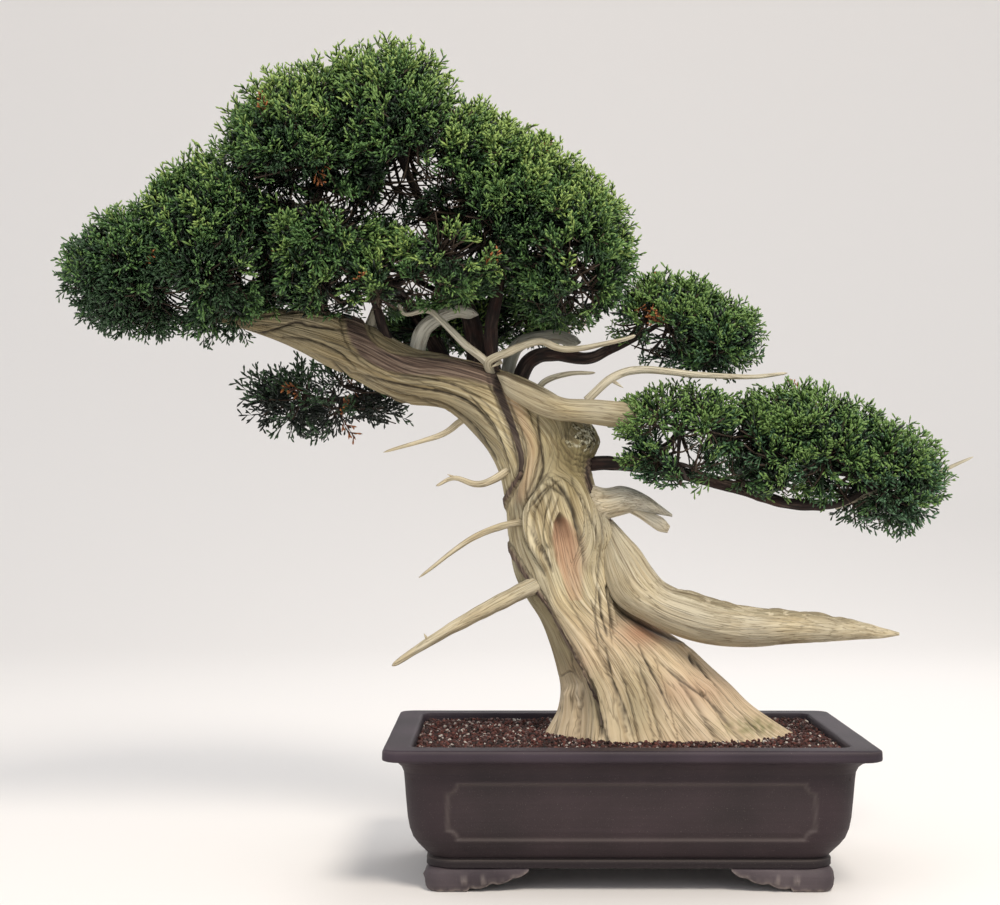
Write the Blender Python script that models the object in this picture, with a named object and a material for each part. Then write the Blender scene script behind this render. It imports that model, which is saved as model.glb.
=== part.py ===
"""A driftwood-style conifer bonsai in its unglazed clay pot.

Metres, +Z up, seen from the front along +Y. Everything is laid out from the middle of the pot, and the
whole model then moves so that its box stands centred on the origin, with the pot's feet at Z = 0.
"""

import math
import random

import bmesh
import bpy
from mathutils import Matrix, Vector, noise

SEED = 11
GAP = 0.0003  # clearance between pieces that touch

# Pot
POT_LENGTH = 0.520
POT_DEPTH = 0.340
FOOT_HEIGHT = 0.025
FOOT_LENGTH = 0.106
FOOT_DEPTH = 0.086
FOOT_THICKNESS = 0.018
FOOT_TUCK = 0.003  # how far a foot's outer faces stand in from the base's edge
CORNER_STEPS = 3
# The outer wall from the base to the lip: (height, inset from the lip, corner radius)
POT_OUTSIDE = (
    (0.0253, 0.044, 0.030),
    (0.0335, 0.044, 0.030),
    (0.0345, 0.047, 0.028),
    (0.0430, 0.040, 0.032),
    (0.0560, 0.030, 0.036),
    (0.0780, 0.0245, 0.036),
    (0.1250, 0.021, 0.034),
    (0.1350, 0.017, 0.030),
    (0.1410, 0.009, 0.024),
    (0.1430, 0.001, 0.018),
    (0.1450, 0.000, 0.016),
    (0.1530, 0.000, 0.016),
    (0.1550, 0.002, 0.015),
)
# The inner wall from the lip to the floor
POT_INSIDE = (
    (0.1550, 0.028, 0.012),
    (0.1530, 0.030, 0.011),
    (0.1250, 0.031, 0.024),
    (0.0700, 0.036, 0.024),
    (0.0450, 0.052, 0.020),
)
# The soil's surface from the wall to its highest, level part
SOIL_SURFACE = ((0.1465, 0.0306, 0.018), (0.1492, 0.044, 0.016), (0.1500, 0.054, 0.014))
SOIL_TOP = SOIL_SURFACE[-1][0]
SOIL_DIP = 0.0030  # how far hollows in the soil sink below its level part
SOIL_MOUNDS_APART = 0.045
SOIL_CELLS = (20, 12)  # faces of the uneven surface along the pot's length and depth
SOIL_LEVEL_RIM = 0.012  # the soil stays level this far round the trunk
AIR_LIFT = 0.00005  # the level part stays this far below the cut
AIR_HEIGHT = 0.010

# Trunk: stations from the soil to the fork, each with its left and right outline point (x, z) and how
# far it reaches to the front and to the back
TRUNK_SIDES = 24
TRUNK = (
    ((-0.088, SOIL_TOP + GAP), (0.192, SOIL_TOP + GAP), 0.082, 0.078),
    ((-0.080, 0.162), (0.170, 0.164), 0.074, 0.070),
    ((-0.072, 0.178), (0.142, 0.184), 0.066, 0.062),
    ((-0.069, 0.200), (0.121, 0.205), 0.060, 0.056),
    ((-0.073, 0.222), (0.098, 0.226), 0.055, 0.052),
    ((-0.081, 0.250), (0.072, 0.250), 0.050, 0.048),
    ((-0.092, 0.277), (0.034, 0.276), 0.047, 0.045),
    ((-0.108, 0.302), (0.006, 0.304), 0.045, 0.043),
    ((-0.122, 0.330), (-0.004, 0.338), 0.044, 0.042),
    ((-0.129, 0.372), (-0.012, 0.378), 0.043, 0.041),
    ((-0.132, 0.407), (-0.027, 0.416), 0.042, 0.040),
    ((-0.138, 0.439), (-0.035, 0.452), 0.042, 0.040),
    ((-0.151, 0.466), (-0.026, 0.480), 0.042, 0.039),
    ((-0.168, 0.487), (-0.052, 0.515), 0.040, 0.037),
    ((-0.186, 0.505), (-0.108, 0.549), 0.037, 0.034),
    ((-0.208, 0.518), (-0.183, 0.573), 0.033, 0.031),
)
ROOT_LOBES = 6
ROOT_LOBE_DEPTH = 0.16  # share of the radius at the soil
FLUTE_DEPTH = 0.05  # and higher up
ROOT_FLARE_HEIGHT = 0.10

# The live vein that climbs the front of the dead trunk, as (x, z) from the soil up, and its radius
VEIN = ((-0.024, 0.172), (-0.030, 0.216), (-0.045, 0.244), (-0.062, 0.276), (-0.082, 0.306),
        (-0.104, 0.328), (-0.128, 0.368), (-0.130, 0.402), (-0.118, 0.433), (-0.114, 0.468),
        (-0.124, 0.508))
VEIN_RADIUS = 0.0042
# The hollow above it where an old limb rotted out: its middle (x, z) and its half sizes
HOLLOW = ((-0.064, 0.354), (0.0155, 0.0110, 0.0440))

# The left limb carries the trunk's line on to a broken point
LIMB_SIDES = 16
LEFT_LIMB = (
    ((-0.254, 0.526), (-0.236, 0.585), 0.031, 0.030),
    ((-0.304, 0.552), (-0.284, 0.610), 0.030, 0.029),
    ((-0.343, 0.570), (-0.328, 0.624), 0.027, 0.026),
    ((-0.380, 0.588), (-0.374, 0.628), 0.019, 0.019),
    ((-0.414, 0.601), (-0.411, 0.625), 0.011, 0.011),
    ((-0.452, 0.613), (-0.451, 0.619), 0.003, 0.003),
)

TAPER = 1.35
CURVE_STEPS = 2  # points on a limb for each one given
THICK_LIMB = 0.008  # a limb whose root is thicker than this gets twelve sides instead of eight
# Dead limbs and stubs: what its root is cut to, radius at its root and tip, and its line, root first
DEADWOOD = {
    "right_limb": ("trunk", 0.031, 0.0045, (
        (-0.030, -0.004, 0.343), (0.008, -0.022, 0.330), (0.050, -0.032, 0.292), (0.088, -0.036, 0.277),
        (0.138, -0.038, 0.270), (0.190, -0.040, 0.269), (0.240, -0.042, 0.268), (0.313, -0.044, 0.261))),
    "right_stub": ("trunk", 0.018, 0.006, (
        (-0.045, -0.006, 0.415), (-0.012, -0.014, 0.412), (0.018, -0.020, 0.408), (0.055, -0.024, 0.394))),
    "top_jin": ("trunk", 0.012, 0.011, (
        (-0.150, -0.028, 0.550), (-0.112, -0.044, 0.536), (-0.079, -0.050, 0.522),
        (-0.042, -0.048, 0.513), (0.022, -0.040, 0.511))),
    "lower_left_jin": ("trunk", 0.0105, 0.003, (
        (-0.085, -0.022, 0.325), (-0.140, -0.034, 0.298), (-0.181, -0.042, 0.277),
        (-0.227, -0.050, 0.250), (-0.256, -0.054, 0.231))),
    "thin_left_jin": ("trunk", 0.0045, 0.0016, (
        (-0.100, -0.018, 0.390), (-0.137, -0.030, 0.383), (-0.174, -0.038, 0.367), (-0.227, -0.044, 0.327))),
    "middle_left_jin": ("trunk", 0.0050, 0.0018, (
        (-0.120, -0.014, 0.452), (-0.145, -0.022, 0.435), (-0.165, -0.026, 0.430),
        (-0.188, -0.028, 0.437), (-0.209, -0.030, 0.428))),
    "upper_left_jin": ("trunk", 0.0042, 0.0016, (
        (-0.160, 0.000, 0.512), (-0.182, -0.002, 0.501), (-0.204, -0.004, 0.486), (-0.269, -0.006, 0.466))),
    "left_stub": ("left_limb", 0.008, 0.005, (
        (-0.290, 0.004, 0.592), (-0.281, 0.002, 0.616), (-0.274, 0.000, 0.640))),
    "wavy_left_jin": ("trunk bough_right", 0.0055, 0.002, (
        (-0.150, -0.016, 0.556), (-0.162, -0.026, 0.577), (-0.180, -0.030, 0.592), (-0.200, -0.032, 0.610),
        (-0.219, -0.034, 0.621), (-0.238, -0.034, 0.624), (-0.256, -0.034, 0.633))),
    "wavy_right_jin": ("trunk top_jin", 0.0055, 0.002, (
        (-0.136, -0.020, 0.550), (-0.134, -0.034, 0.572), (-0.120, -0.040, 0.585), (-0.100, -0.044, 0.590),
        (-0.068, -0.046, 0.584), (-0.025, -0.048, 0.587), (0.013, -0.050, 0.596))),
    "long_right_jin": ("top_jin", 0.0050, 0.0018, (
        (-0.042, -0.046, 0.522), (-0.014, -0.048, 0.547), (0.019, -0.050, 0.556),
        (0.082, -0.052, 0.550), (0.138, -0.054, 0.548), (0.178, -0.056, 0.552))),
    "short_right_jin": ("trunk", 0.0040, 0.0018, (
        (-0.100, 0.010, 0.530), (-0.086, 0.006, 0.547), (-0.060, 0.002, 0.555), (-0.030, 0.000, 0.556))),
    "back_stub": ("trunk", 0.0090, 0.0070, (
        (-0.134, 0.024, 0.530), (-0.120, 0.052, 0.588), (-0.080, 0.060, 0.602), (-0.044, 0.060, 0.595))),
    "arched_stub": ("left_limb", 0.0100, 0.0065, (
        (-0.236, 0.002, 0.562), (-0.226, 0.000, 0.602), (-0.206, -0.004, 0.619),
        (-0.186, -0.006, 0.625), (-0.162, -0.008, 0.621))),
    "right_tip_jin": ("bough_lower_right", 0.0040, 0.0016, (
        (0.240, 0.004, 0.405), (0.286, 0.002, 0.421), (0.338, 0.000, 0.436), (0.395, -0.002, 0.461))),
}

# Foliage: each mass has its lobes (middle, half sizes), whether it is dense, and the live bough that
# carries it: what the bough grows from, its radius at root and tip, and its line up to the mass
MASSES = {
    "left": (True, (
        ((-0.455, 0.000, 0.697), (0.100, 0.138, 0.112)),
        ((-0.552, -0.002, 0.665), (0.086, 0.110, 0.075)),
        ((-0.392, 0.000, 0.752), (0.070, 0.118, 0.062)),
    ), ("left_limb", 0.010, 0.006, ((-0.318, 0.010, 0.596), (-0.344, 0.010, 0.634)))),
    "top": (True, (
        ((-0.262, 0.000, 0.822), (0.098, 0.160, 0.108)),
        ((-0.358, 0.000, 0.797), (0.098, 0.155, 0.106)),
    ), ("trunk", 0.012, 0.007, (
        (-0.163, 0.016, 0.540), (-0.172, 0.036, 0.620), (-0.212, 0.034, 0.716)))),
    "right": (True, (
        ((-0.135, 0.000, 0.748), (0.098, 0.150, 0.088)),
        ((-0.070, 0.000, 0.702), (0.088, 0.128, 0.080)),
        ((-0.060, -0.010, 0.656), (0.070, 0.105, 0.050)),
        ((-0.186, 0.000, 0.802), (0.062, 0.125, 0.062)),
    ), ("trunk", 0.009, 0.006, (
        (-0.142, -0.006, 0.535), (-0.148, -0.002, 0.600), (-0.138, 0.004, 0.660)))),
    "middle": (True, (
        ((-0.330, -0.010, 0.694), (0.088, 0.140, 0.066)),
        ((-0.190, -0.045, 0.678), (0.072, 0.105, 0.056)),
    ), ("left_limb", 0.008, 0.005, ((-0.262, -0.004, 0.580), (-0.276, -0.010, 0.628)))),
    "back": (True, (
        ((-0.345, 0.130, 0.728), (0.100, 0.078, 0.090)),
        ((-0.140, 0.130, 0.712), (0.100, 0.078, 0.088)),
    ), ("trunk left_limb", 0.010, 0.006, (
        (-0.186, 0.018, 0.540), (-0.224, 0.066, 0.610), (-0.262, 0.100, 0.664)))),
    "middle_right": (True, (
        ((0.052, 0.020, 0.618), (0.070, 0.092, 0.058)),
        ((0.110, 0.020, 0.597), (0.060, 0.080, 0.047)),
    ), ("trunk", 0.0095, 0.006, (
        (-0.122, 0.012, 0.530), (-0.104, 0.020, 0.570), (-0.075, 0.024, 0.579),
        (-0.040, 0.026, 0.574), (-0.012, 0.024, 0.584)))),
    "lower_right_inner": (True, (
        ((0.064, -0.020, 0.494), (0.088, 0.085, 0.050)),
    ), ("bough_lower_right", 0.0050, 0.0035, ((0.030, -0.006, 0.446), (0.046, -0.010, 0.464)))),
    "lower_right": (True, (
        ((0.290, 0.000, 0.437), (0.080, 0.094, 0.070)),
        ((0.203, 0.000, 0.483), (0.086, 0.098, 0.064)),
    ), ("trunk", 0.0085, 0.0055, (
        (-0.050, 0.000, 0.452), (-0.010, -0.002, 0.454), (0.048, -0.004, 0.447),
        (0.122, -0.002, 0.428), (0.180, 0.000, 0.410), (0.228, 0.000, 0.406)))),
    "lower_left": (False, (
        ((-0.342, 0.080, 0.530), (0.114, 0.068, 0.044)),
    ), ("left_limb", 0.0060, 0.0040, (
        (-0.232, 0.020, 0.550), (-0.252, 0.048, 0.541), (-0.270, 0.060, 0.538)))),
}
CORE_SHARE = 0.78  # a dense mass's core, as a share of the lobe
CORE_LEAST_SHARE = 0.2
CORE_ROUGHNESS = 0.16
CORE_LUMPS = 2.1  # how fine they are
SPRAYS_PER_SQUARE_METRE = 180
SPRAYS_A_SPARSE_LOBE = 17
BRANCH_PAST_MIDDLE = 0.55  # how far a sparse lobe's branch runs on past its middle
# A spray is a blade with three teeth: half of its outline as shares of (length, width), root first
BLADE_HALF = ((0.0, 0.10), (0.64, 0.50), (0.54, 0.17))
BLADE_LENGTH = 0.050
BLADE_WIDTH = 0.044
BLADE_THICKNESS = 0.0040
TWIG_RADIUS = 0.0030
STEM_LENGTH = 0.012  # from the bough's tip to the point that a mass grows from
OVERLAP = 0.004  # how far one growing piece is sunk in the next
LIFT = 0.35  # how far sprays turn up towards the light
SPACE_MARGIN = 0.055  # between neighbouring masses, as a share of a lobe's half size
CROWN_BLEND = 7.0  # the lower, the fuller the crown is where lobes meet
LIMB_MARGIN = 0.0025
# A gap in the crown that shows the sky from the front: its middle at the pot's middle depth, its half
# sizes, and how far its line shifts for each metre of depth
SKY_GAP = ((-0.243, 0.752), (0.014, 0.030), (-0.057, 0.162))

MATERIALS = {  # base colour (linear), roughness
    "clay": ((0.085, 0.062, 0.057), 0.62),
    "soil": ((0.120, 0.058, 0.042), 0.95),
    "deadwood": ((0.560, 0.450, 0.280), 0.72),
    "bark": ((0.140, 0.095, 0.085), 0.85),
    "foliage": ((0.052, 0.120, 0.035), 0.60),
}


def clear_scene():
    for thing in list(bpy.data.objects):
        bpy.data.objects.remove(thing)


def new_collection(name):
    made = bpy.data.collections.new(name)
    bpy.context.scene.collection.children.link(made)
    return made


def make_material(name):
    colour, roughness = MATERIALS[name]
    made = bpy.data.materials.new(name)
    made.use_nodes = True
    shader = made.node_tree.nodes["Principled BSDF"]
    shader.inputs["Base Color"].default_value = (*colour, 1.0)
    shader.inputs["Roughness"].default_value = roughness
    shader.inputs["Metallic"].default_value = 0.0
    return made


def mesh_object(name, bm, collection, material=None):
    """A new object from a bmesh, in this collection."""
    bmesh.ops.recalc_face_normals(bm, faces=bm.faces)
    mesh = bpy.data.meshes.new(name)
    bm.to_mesh(mesh)
    bm.free()
    thing = bpy.data.objects.new(name, mesh)
    collection.objects.link(thing)
    if material is not None:
        mesh.materials.append(material)
    return thing


def loft(rings):
    """A closed bmesh skinned over rings of equally many points, with its two ends capped."""
    bm = bmesh.new()
    rows = [[bm.verts.new(point) for point in ring] for ring in rings]
    for low, high in zip(rows, rows[1:]):
        for i in range(len(low)):
            j = (i + 1) % len(low)
            bm.faces.new((low[i], low[j], high[j], high[i]))
    bm.faces.new(reversed(rows[0]))
    bm.faces.new(rows[-1])
    bmesh.ops.triangulate(bm, faces=bm.faces)
    return bm


def rounded_rectangle(half_x, half_y, radius, height):
    """A ring of points, anticlockwise seen from above."""
    ring = []
    for turn, (side_x, side_y) in enumerate(((1, 1), (-1, 1), (-1, -1), (1, -1))):
        for step in range(CORNER_STEPS + 1):
            angle = math.radians(90 * (turn + step / CORNER_STEPS))
            ring.append((side_x * (half_x - radius) + radius * math.cos(angle),
                         side_y * (half_y - radius) + radius * math.sin(angle), height))
    return ring


def pot_ring(height, inset, radius):
    return rounded_rectangle(POT_LENGTH / 2 - inset, POT_DEPTH / 2 - inset, radius, height)


def make_pot():
    rings = [pot_ring(*level) for level in POT_OUTSIDE + POT_INSIDE]
    return mesh_object("pot", loft(rings), OBJECT, CLAY)


def make_soil():
    """Soil that fills the pot, highest over the roots."""
    inner = [level for level in reversed(POT_INSIDE) if level[0] < SOIL_SURFACE[0][0]]
    rings = [pot_ring(height + GAP, inset + GAP, radius) for height, inset, radius in inner]
    rings += [pot_ring(*level) for level in SOIL_SURFACE]
    soil = mesh_object("soil", loft(rings), OBJECT, SOIL)
    return joined(soil, [air_over_soil()], "DIFFERENCE")


def soil_dip(x, y):
    """How far the soil's surface dips here: in rows of mounds, and not at all near the trunk."""
    (left, _), (right, _), front, back = TRUNK[0]
    across = (x - (left + right) / 2) / ((right - left) / 2 + SOIL_LEVEL_RIM)
    away = math.hypot(across, y / (max(front, back) + SOIL_LEVEL_RIM)) - 1
    wave = math.sin(math.pi * x / SOIL_MOUNDS_APART) * math.cos(math.pi * y / SOIL_MOUNDS_APART)
    return SOIL_DIP * max(0.0, min(1.0, away * 4)) * (0.5 + 0.5 * wave)


def air_over_soil():
    """The air above the soil, as a block with an uneven underside that leaves mounds when it is cut away."""
    bm = bmesh.new()
    bmesh.ops.create_grid(bm, x_segments=SOIL_CELLS[0], y_segments=SOIL_CELLS[1], size=0.5)
    for vertex in bm.verts:
        x, y = vertex.co.x * POT_LENGTH, vertex.co.y * POT_DEPTH
        vertex.co = (x, y, SOIL_TOP + AIR_LIFT - soil_dip(x, y))
    raised = bmesh.ops.extrude_face_region(bm, geom=list(bm.faces))["geom"]
    for part in raised:
        if isinstance(part, bmesh.types.BMVert):
            part.co.z = SOIL_TOP + AIR_HEIGHT
    return mesh_object("air", bm, HELPERS)


def foot_outline(length):
    """Half of a cloud-shaped foot seen square on: flat under the corner, then scallops that rise."""
    toe, height = 0.36 * length, FOOT_HEIGHT
    return ((0.0, height), (-0.004, 0.72 * height), (-0.003, 0.16 * height), (0.004, 0.0), (toe, 0.0),
            (toe + 0.005, 0.18 * height), (0.62 * length, 0.34 * height), (0.80 * length, 0.58 * height),
            (length, height))


def foot_side(length):
    """One side of a foot: its outline in X and Z, with its thickness along Y."""
    curve = bpy.data.curves.new("foot_side", "CURVE")
    curve.dimensions = "2D"
    curve.fill_mode = "BOTH"
    curve.extrude = FOOT_THICKNESS / 2
    spline = curve.splines.new("POLY")
    points = foot_outline(length)
    spline.points.add(len(points) - 1)
    for place, (across, height) in zip(spline.points, points):
        place.co = (across, height, 0.0, 1.0)
    spline.use_cyclic_u = True
    side = bpy.data.objects.new("foot_side", curve)
    HELPERS.objects.link(side)
    return as_mesh(side)


def as_mesh(thing):
    """A mesh object in the place of a curve object, with its caps welded."""
    bpy.context.view_layer.update()
    graph = bpy.context.evaluated_depsgraph_get()
    mesh = bpy.data.meshes.new_from_object(thing.evaluated_get(graph))
    bm = bmesh.new()
    bm.from_mesh(mesh)
    bmesh.ops.remove_doubles(bm, verts=bm.verts, dist=1e-6)
    made = mesh_object(thing.name, bm, thing.users_collection[0])
    made.matrix_world = thing.matrix_world.copy()
    bpy.data.objects.remove(thing)
    return made


def place(thing, matrix):
    """Moves a mesh object's points and leaves its origin where the model's is."""
    thing.data.transform(matrix)
    if matrix.determinant() < 0:
        thing.data.flip_normals()
    return thing


def drop_scraps(mesh):
    """Leaves only the connected piece with the most faces."""
    bm = bmesh.new()
    bm.from_mesh(mesh)
    waiting, pieces = set(bm.verts), []
    while waiting:
        front = [waiting.pop()]
        piece = set(front)
        while front:
            for edge in front.pop().link_edges:
                for vertex in edge.verts:
                    if vertex not in piece:
                        piece.add(vertex)
                        front.append(vertex)
        waiting -= piece
        pieces.append(piece)
    pieces.sort(key=len)
    scraps = [vertex for piece in pieces[:-1] for vertex in piece]
    bmesh.ops.delete(bm, geom=scraps, context="VERTS")
    bm.to_mesh(mesh)
    bm.free()


def joined(body, others, operation="UNION", solver="EXACT"):
    """The body with the other objects added or cut away, as plain faces; the others are removed."""
    bin_of_others = new_collection("joining")
    bin_of_others.hide_render = True
    for other in others:
        for holder in list(other.users_collection):
            holder.objects.unlink(other)
        bin_of_others.objects.link(other)
    modifier = body.modifiers.new("join", "BOOLEAN")
    modifier.operation = operation
    modifier.operand_type = "COLLECTION"
    modifier.collection = bin_of_others
    modifier.solver = solver
    bpy.context.view_layer.update()
    graph = bpy.context.evaluated_depsgraph_get()
    mesh = bpy.data.meshes.new_from_object(body.evaluated_get(graph))
    body.modifiers.clear()
    drop_scraps(mesh)
    old, body.data = body.data, mesh
    bpy.data.meshes.remove(old)
    for other in list(bin_of_others.objects):
        bpy.data.objects.remove(other)
    bpy.data.collections.remove(bin_of_others)
    return body


def make_foot(name, side_x, side_y):
    """A foot that wraps one corner of the base: a long side along X and a shorter one along Y."""
    inset = POT_OUTSIDE[0][1] + FOOT_TUCK
    corner = Vector((POT_LENGTH / 2 - inset, POT_DEPTH / 2 - inset, 0))
    stand_up = Matrix.Rotation(math.radians(90), 4, "X")
    long_side = place(foot_side(FOOT_LENGTH), stand_up)
    place(long_side, Matrix.Translation((-corner.x, -corner.y + FOOT_THICKNESS / 2, 0)))
    short_side = place(foot_side(FOOT_DEPTH), stand_up)
    place(short_side, Matrix.Rotation(math.radians(90), 4, "Z"))
    place(short_side, Matrix.Translation((-corner.x + FOOT_THICKNESS / 2, -corner.y, 0)))
    foot = joined(long_side, [short_side])
    place(foot, Matrix.Diagonal((-side_x, -side_y, 1, 1)))
    HELPERS.objects.unlink(foot)
    OBJECT.objects.link(foot)
    foot.name = name
    foot.data.materials.clear()
    foot.data.materials.append(CLAY)
    return foot


def section(left, right, front, back, sides, lobe_depth):
    """A ring across a limb, in the plane through its two outline points and the Y axis."""
    left, right = Vector((left[0], 0, left[1])), Vector((right[0], 0, right[1]))
    middle, half = (left + right) / 2, (right - left) / 2
    ring = []
    for step in range(sides):
        angle = 2 * math.pi * step / sides
        groove = 1 - lobe_depth * (0.5 - 0.5 * math.cos(ROOT_LOBES * angle))
        depth = back if math.sin(angle) > 0 else front
        ring.append(middle + groove * (half * math.cos(angle) + Vector((0, depth * math.sin(angle), 0))))
    return ring


def make_trunk():
    rings = []
    for left, right, front, back in TRUNK:
        height = (left[1] + right[1]) / 2 - SOIL_TOP
        flare = max(0.0, 1 - height / ROOT_FLARE_HEIGHT)
        depth = FLUTE_DEPTH + (ROOT_LOBE_DEPTH - FLUTE_DEPTH) * flare
        rings.append(section(left, right, front, back, TRUNK_SIDES, depth))
    trunk = mesh_object("trunk", loft(rings), OBJECT, DEADWOOD_FINISH)
    trunk = joined(trunk, [hollow_space()], "DIFFERENCE")
    stations = [(front_of_trunk(x, z), VEIN_RADIUS) for x, z in VEIN]
    vein = tapering_limb("vein", stations, DEADWOOD_FINISH)
    return joined(trunk, [vein])


def front_of_trunk(x, z):
    """The point of the trunk's front surface at this place of the front view."""
    for low, high in zip(TRUNK, TRUNK[1:]):
        bottom, top = (low[0][1] + low[1][1]) / 2, (high[0][1] + high[1][1]) / 2
        if bottom <= z <= top:
            share = (z - bottom) / (top - bottom)
            left, right = (low[i][0] + (high[i][0] - low[i][0]) * share for i in (0, 1))
            front = low[2] + (high[2] - low[2]) * share
            across = (2 * x - left - right) / (right - left)
            return Vector((x, -front * math.sqrt(max(0.0, 1 - across * across)), z))
    raise ValueError(f"no trunk at height {z}")


def hollow_space():
    """An almond of air at the trunk's front surface."""
    (x, z), half = HOLLOW
    bm = bmesh.new()
    bmesh.ops.create_icosphere(bm, subdivisions=2, radius=1.0)
    place_there = Matrix.Translation(front_of_trunk(x, z)) @ Matrix.Diagonal((*half, 1.0))
    bmesh.ops.transform(bm, matrix=place_there, verts=bm.verts)
    return mesh_object("hollow", bm, HELPERS)


def make_left_limb():
    """It starts on the trunk's end face, a hair's breadth clear of it."""
    left, right, front, back = TRUNK[-1]
    ahead = (Vector(LEFT_LIMB[0][0]) - Vector(left)).normalized() * GAP
    start = (tuple(Vector(left) + ahead), tuple(Vector(right) + ahead), front, back)
    rings = [section(*station, LIMB_SIDES, FLUTE_DEPTH) for station in (start, *LEFT_LIMB)]
    return mesh_object("left_limb", loft(rings), OBJECT, DEADWOOD_FINISH)


def smooth_line(points):
    """Points along a Catmull-Rom curve through the given ones."""
    points = [Vector(point) for point in points]
    ends = [2 * points[0] - points[1], *points, 2 * points[-1] - points[-2]]
    line = []
    for before, here, there, after in zip(ends, ends[1:], ends[2:], ends[3:]):
        bend = 2 * before - 5 * here + 4 * there - after
        twist = 3 * here - before - 3 * there + after
        for step in range(CURVE_STEPS):
            t = step / CURVE_STEPS
            line.append(here + 0.5 * ((there - before) * t + bend * t * t + twist * t ** 3))
    return [*line, points[-1]]


def limb_stations(root_radius, tip_radius, points):
    """(place, radius) along a limb, which tapers faster towards its tip."""
    line = smooth_line(points)
    lengths = [0.0]
    for here, there in zip(line, line[1:]):
        lengths.append(lengths[-1] + (there - here).length)
    return [(where, root_radius + (tip_radius - root_radius) * (length / lengths[-1]) ** TAPER)
            for where, length in zip(line, lengths)]


def tapering_limb(name, stations, material):
    """A tube along the stations, as a mesh."""
    curve = bpy.data.curves.new(name, "CURVE")
    curve.dimensions = "3D"
    curve.bevel_depth = 1.0
    curve.bevel_resolution = 2 if stations[0][1] > THICK_LIMB else 1
    curve.use_fill_caps = True
    spline = curve.splines.new("POLY")
    spline.points.add(len(stations) - 1)
    for point, (where, radius) in zip(spline.points, stations):
        point.co = (*where, 1.0)
        point.radius = radius
    limb = bpy.data.objects.new(name, curve)
    OBJECT.objects.link(limb)
    limb = as_mesh(limb)
    limb.name = name
    limb.data.materials.clear()
    limb.data.materials.append(material)
    return limb


def swollen(host):
    """A copy of the host, a gap's width larger all round."""
    bm = bmesh.new()
    bm.from_mesh(host.data)
    bm.normal_update()
    grown = [vertex.co + vertex.normal * GAP * 1.4 for vertex in bm.verts]
    for vertex, where in zip(bm.verts, grown):
        vertex.co = where
    return mesh_object("clearance", bm, HELPERS)


def seat(limb, host):
    """Cuts the limb's root to the shape of what carries it."""
    return joined(limb, [swollen(host)], "DIFFERENCE")


def near_segment(point, start, end):
    """How far along a straight piece the nearest point lies, from 0 to 1, and its distance."""
    along = end - start
    share = max(0.0, min(1.0, (point - start).dot(along) / along.length_squared))
    return share, (point - start - along * share).length


def clear_of_limbs(point):
    for stations in LIMB_LINES:
        for (start, start_radius), (end, end_radius) in zip(stations, stations[1:]):
            share, away = near_segment(point, start, end)
            if away < start_radius + (end_radius - start_radius) * share + LIMB_MARGIN:
                return False
    return True


def nearness(lobe, point):
    """0 at the lobe's middle and 1 on its outline."""
    middle, half = lobe
    return math.sqrt(sum(((point[i] - middle[i]) / half[i]) ** 2 for i in range(3)))


def mass_nearness(name, point):
    return min(nearness(lobe, point) for lobe in MASSES[name][1])


def crown_nearness(point):
    """The nearness to the nearest of all lobes, lowered where lobes meet so that no notches show."""
    total = sum(math.exp(-CROWN_BLEND * nearness(lobe, point))
                for _, lobes, _ in MASSES.values() for lobe in lobes)
    return -math.log(total) / CROWN_BLEND


def in_sky_gap(point):
    (middle_x, middle_z), (half_x, half_z), (shift_x, shift_z) = SKY_GAP
    across = (point[0] - middle_x - shift_x * point[1]) / half_x
    up = (point[2] - middle_z - shift_z * point[1]) / half_z
    return across ** 2 + up ** 2 < 1


def in_own_space(name, point, reach):
    own = mass_nearness(name, point)
    if crown_nearness(point) > reach or in_sky_gap(point):
        return False
    if any(mass_nearness(other, point) < own + SPACE_MARGIN for other in MASSES if other != name):
        return False
    return clear_of_limbs(point)


def even_directions(count, turn):
    """Unit vectors spread evenly over a sphere, on a spiral from its top to its bottom."""
    golden = math.pi * (3 - math.sqrt(5))
    for i in range(count):
        height = 1 - 2 * (i + 0.5) / count
        level = math.sqrt(1 - height * height)
        yield Vector((level * math.cos(golden * i + turn), level * math.sin(golden * i + turn), height))


def core_of(name, lobe, collection):
    """A rough lump that fills the lobe's inside, drawn in where a neighbour or a limb is near."""
    middle, half = Vector(lobe[0]), lobe[1]
    bm = bmesh.new()
    bmesh.ops.create_icosphere(bm, subdivisions=2, radius=1.0)
    for vertex in bm.verts:
        direction = vertex.co.normalized()
        reach = CORE_SHARE * (1 + CORE_ROUGHNESS * noise.noise(direction * CORE_LUMPS + middle * 40))
        spot = Vector(direction[i] * half[i] for i in range(3))
        while reach > CORE_LEAST_SHARE and not in_own_space(name, middle + spot * reach, 1.0):
            reach -= 0.04
        vertex.co = middle + spot * reach
    return mesh_object("core", bm, collection)


def cone_between(start, end, start_radius, end_radius, collection, sides=3):
    along = end - start
    bm = bmesh.new()
    bmesh.ops.create_cone(bm, cap_ends=True, segments=sides, radius1=start_radius, radius2=end_radius,
                          depth=along.length)
    turn = along.to_track_quat("Z", "Y").to_matrix().to_4x4()
    bmesh.ops.transform(bm, matrix=Matrix.Translation((start + end) / 2) @ turn, verts=bm.verts)
    return mesh_object("twig", bm, collection)


def blade_outline(root, heading, side, size):
    """The blade's outline in its own plane: one side from the root, the tip, and back down the other."""
    half = [(along * BLADE_LENGTH, across * BLADE_WIDTH) for along, across in BLADE_HALF]
    points = [*half, (BLADE_LENGTH, 0.0), *((along, -across) for along, across in reversed(half))]
    return [root + (heading * along + side * across) * size for along, across in points]


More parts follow.
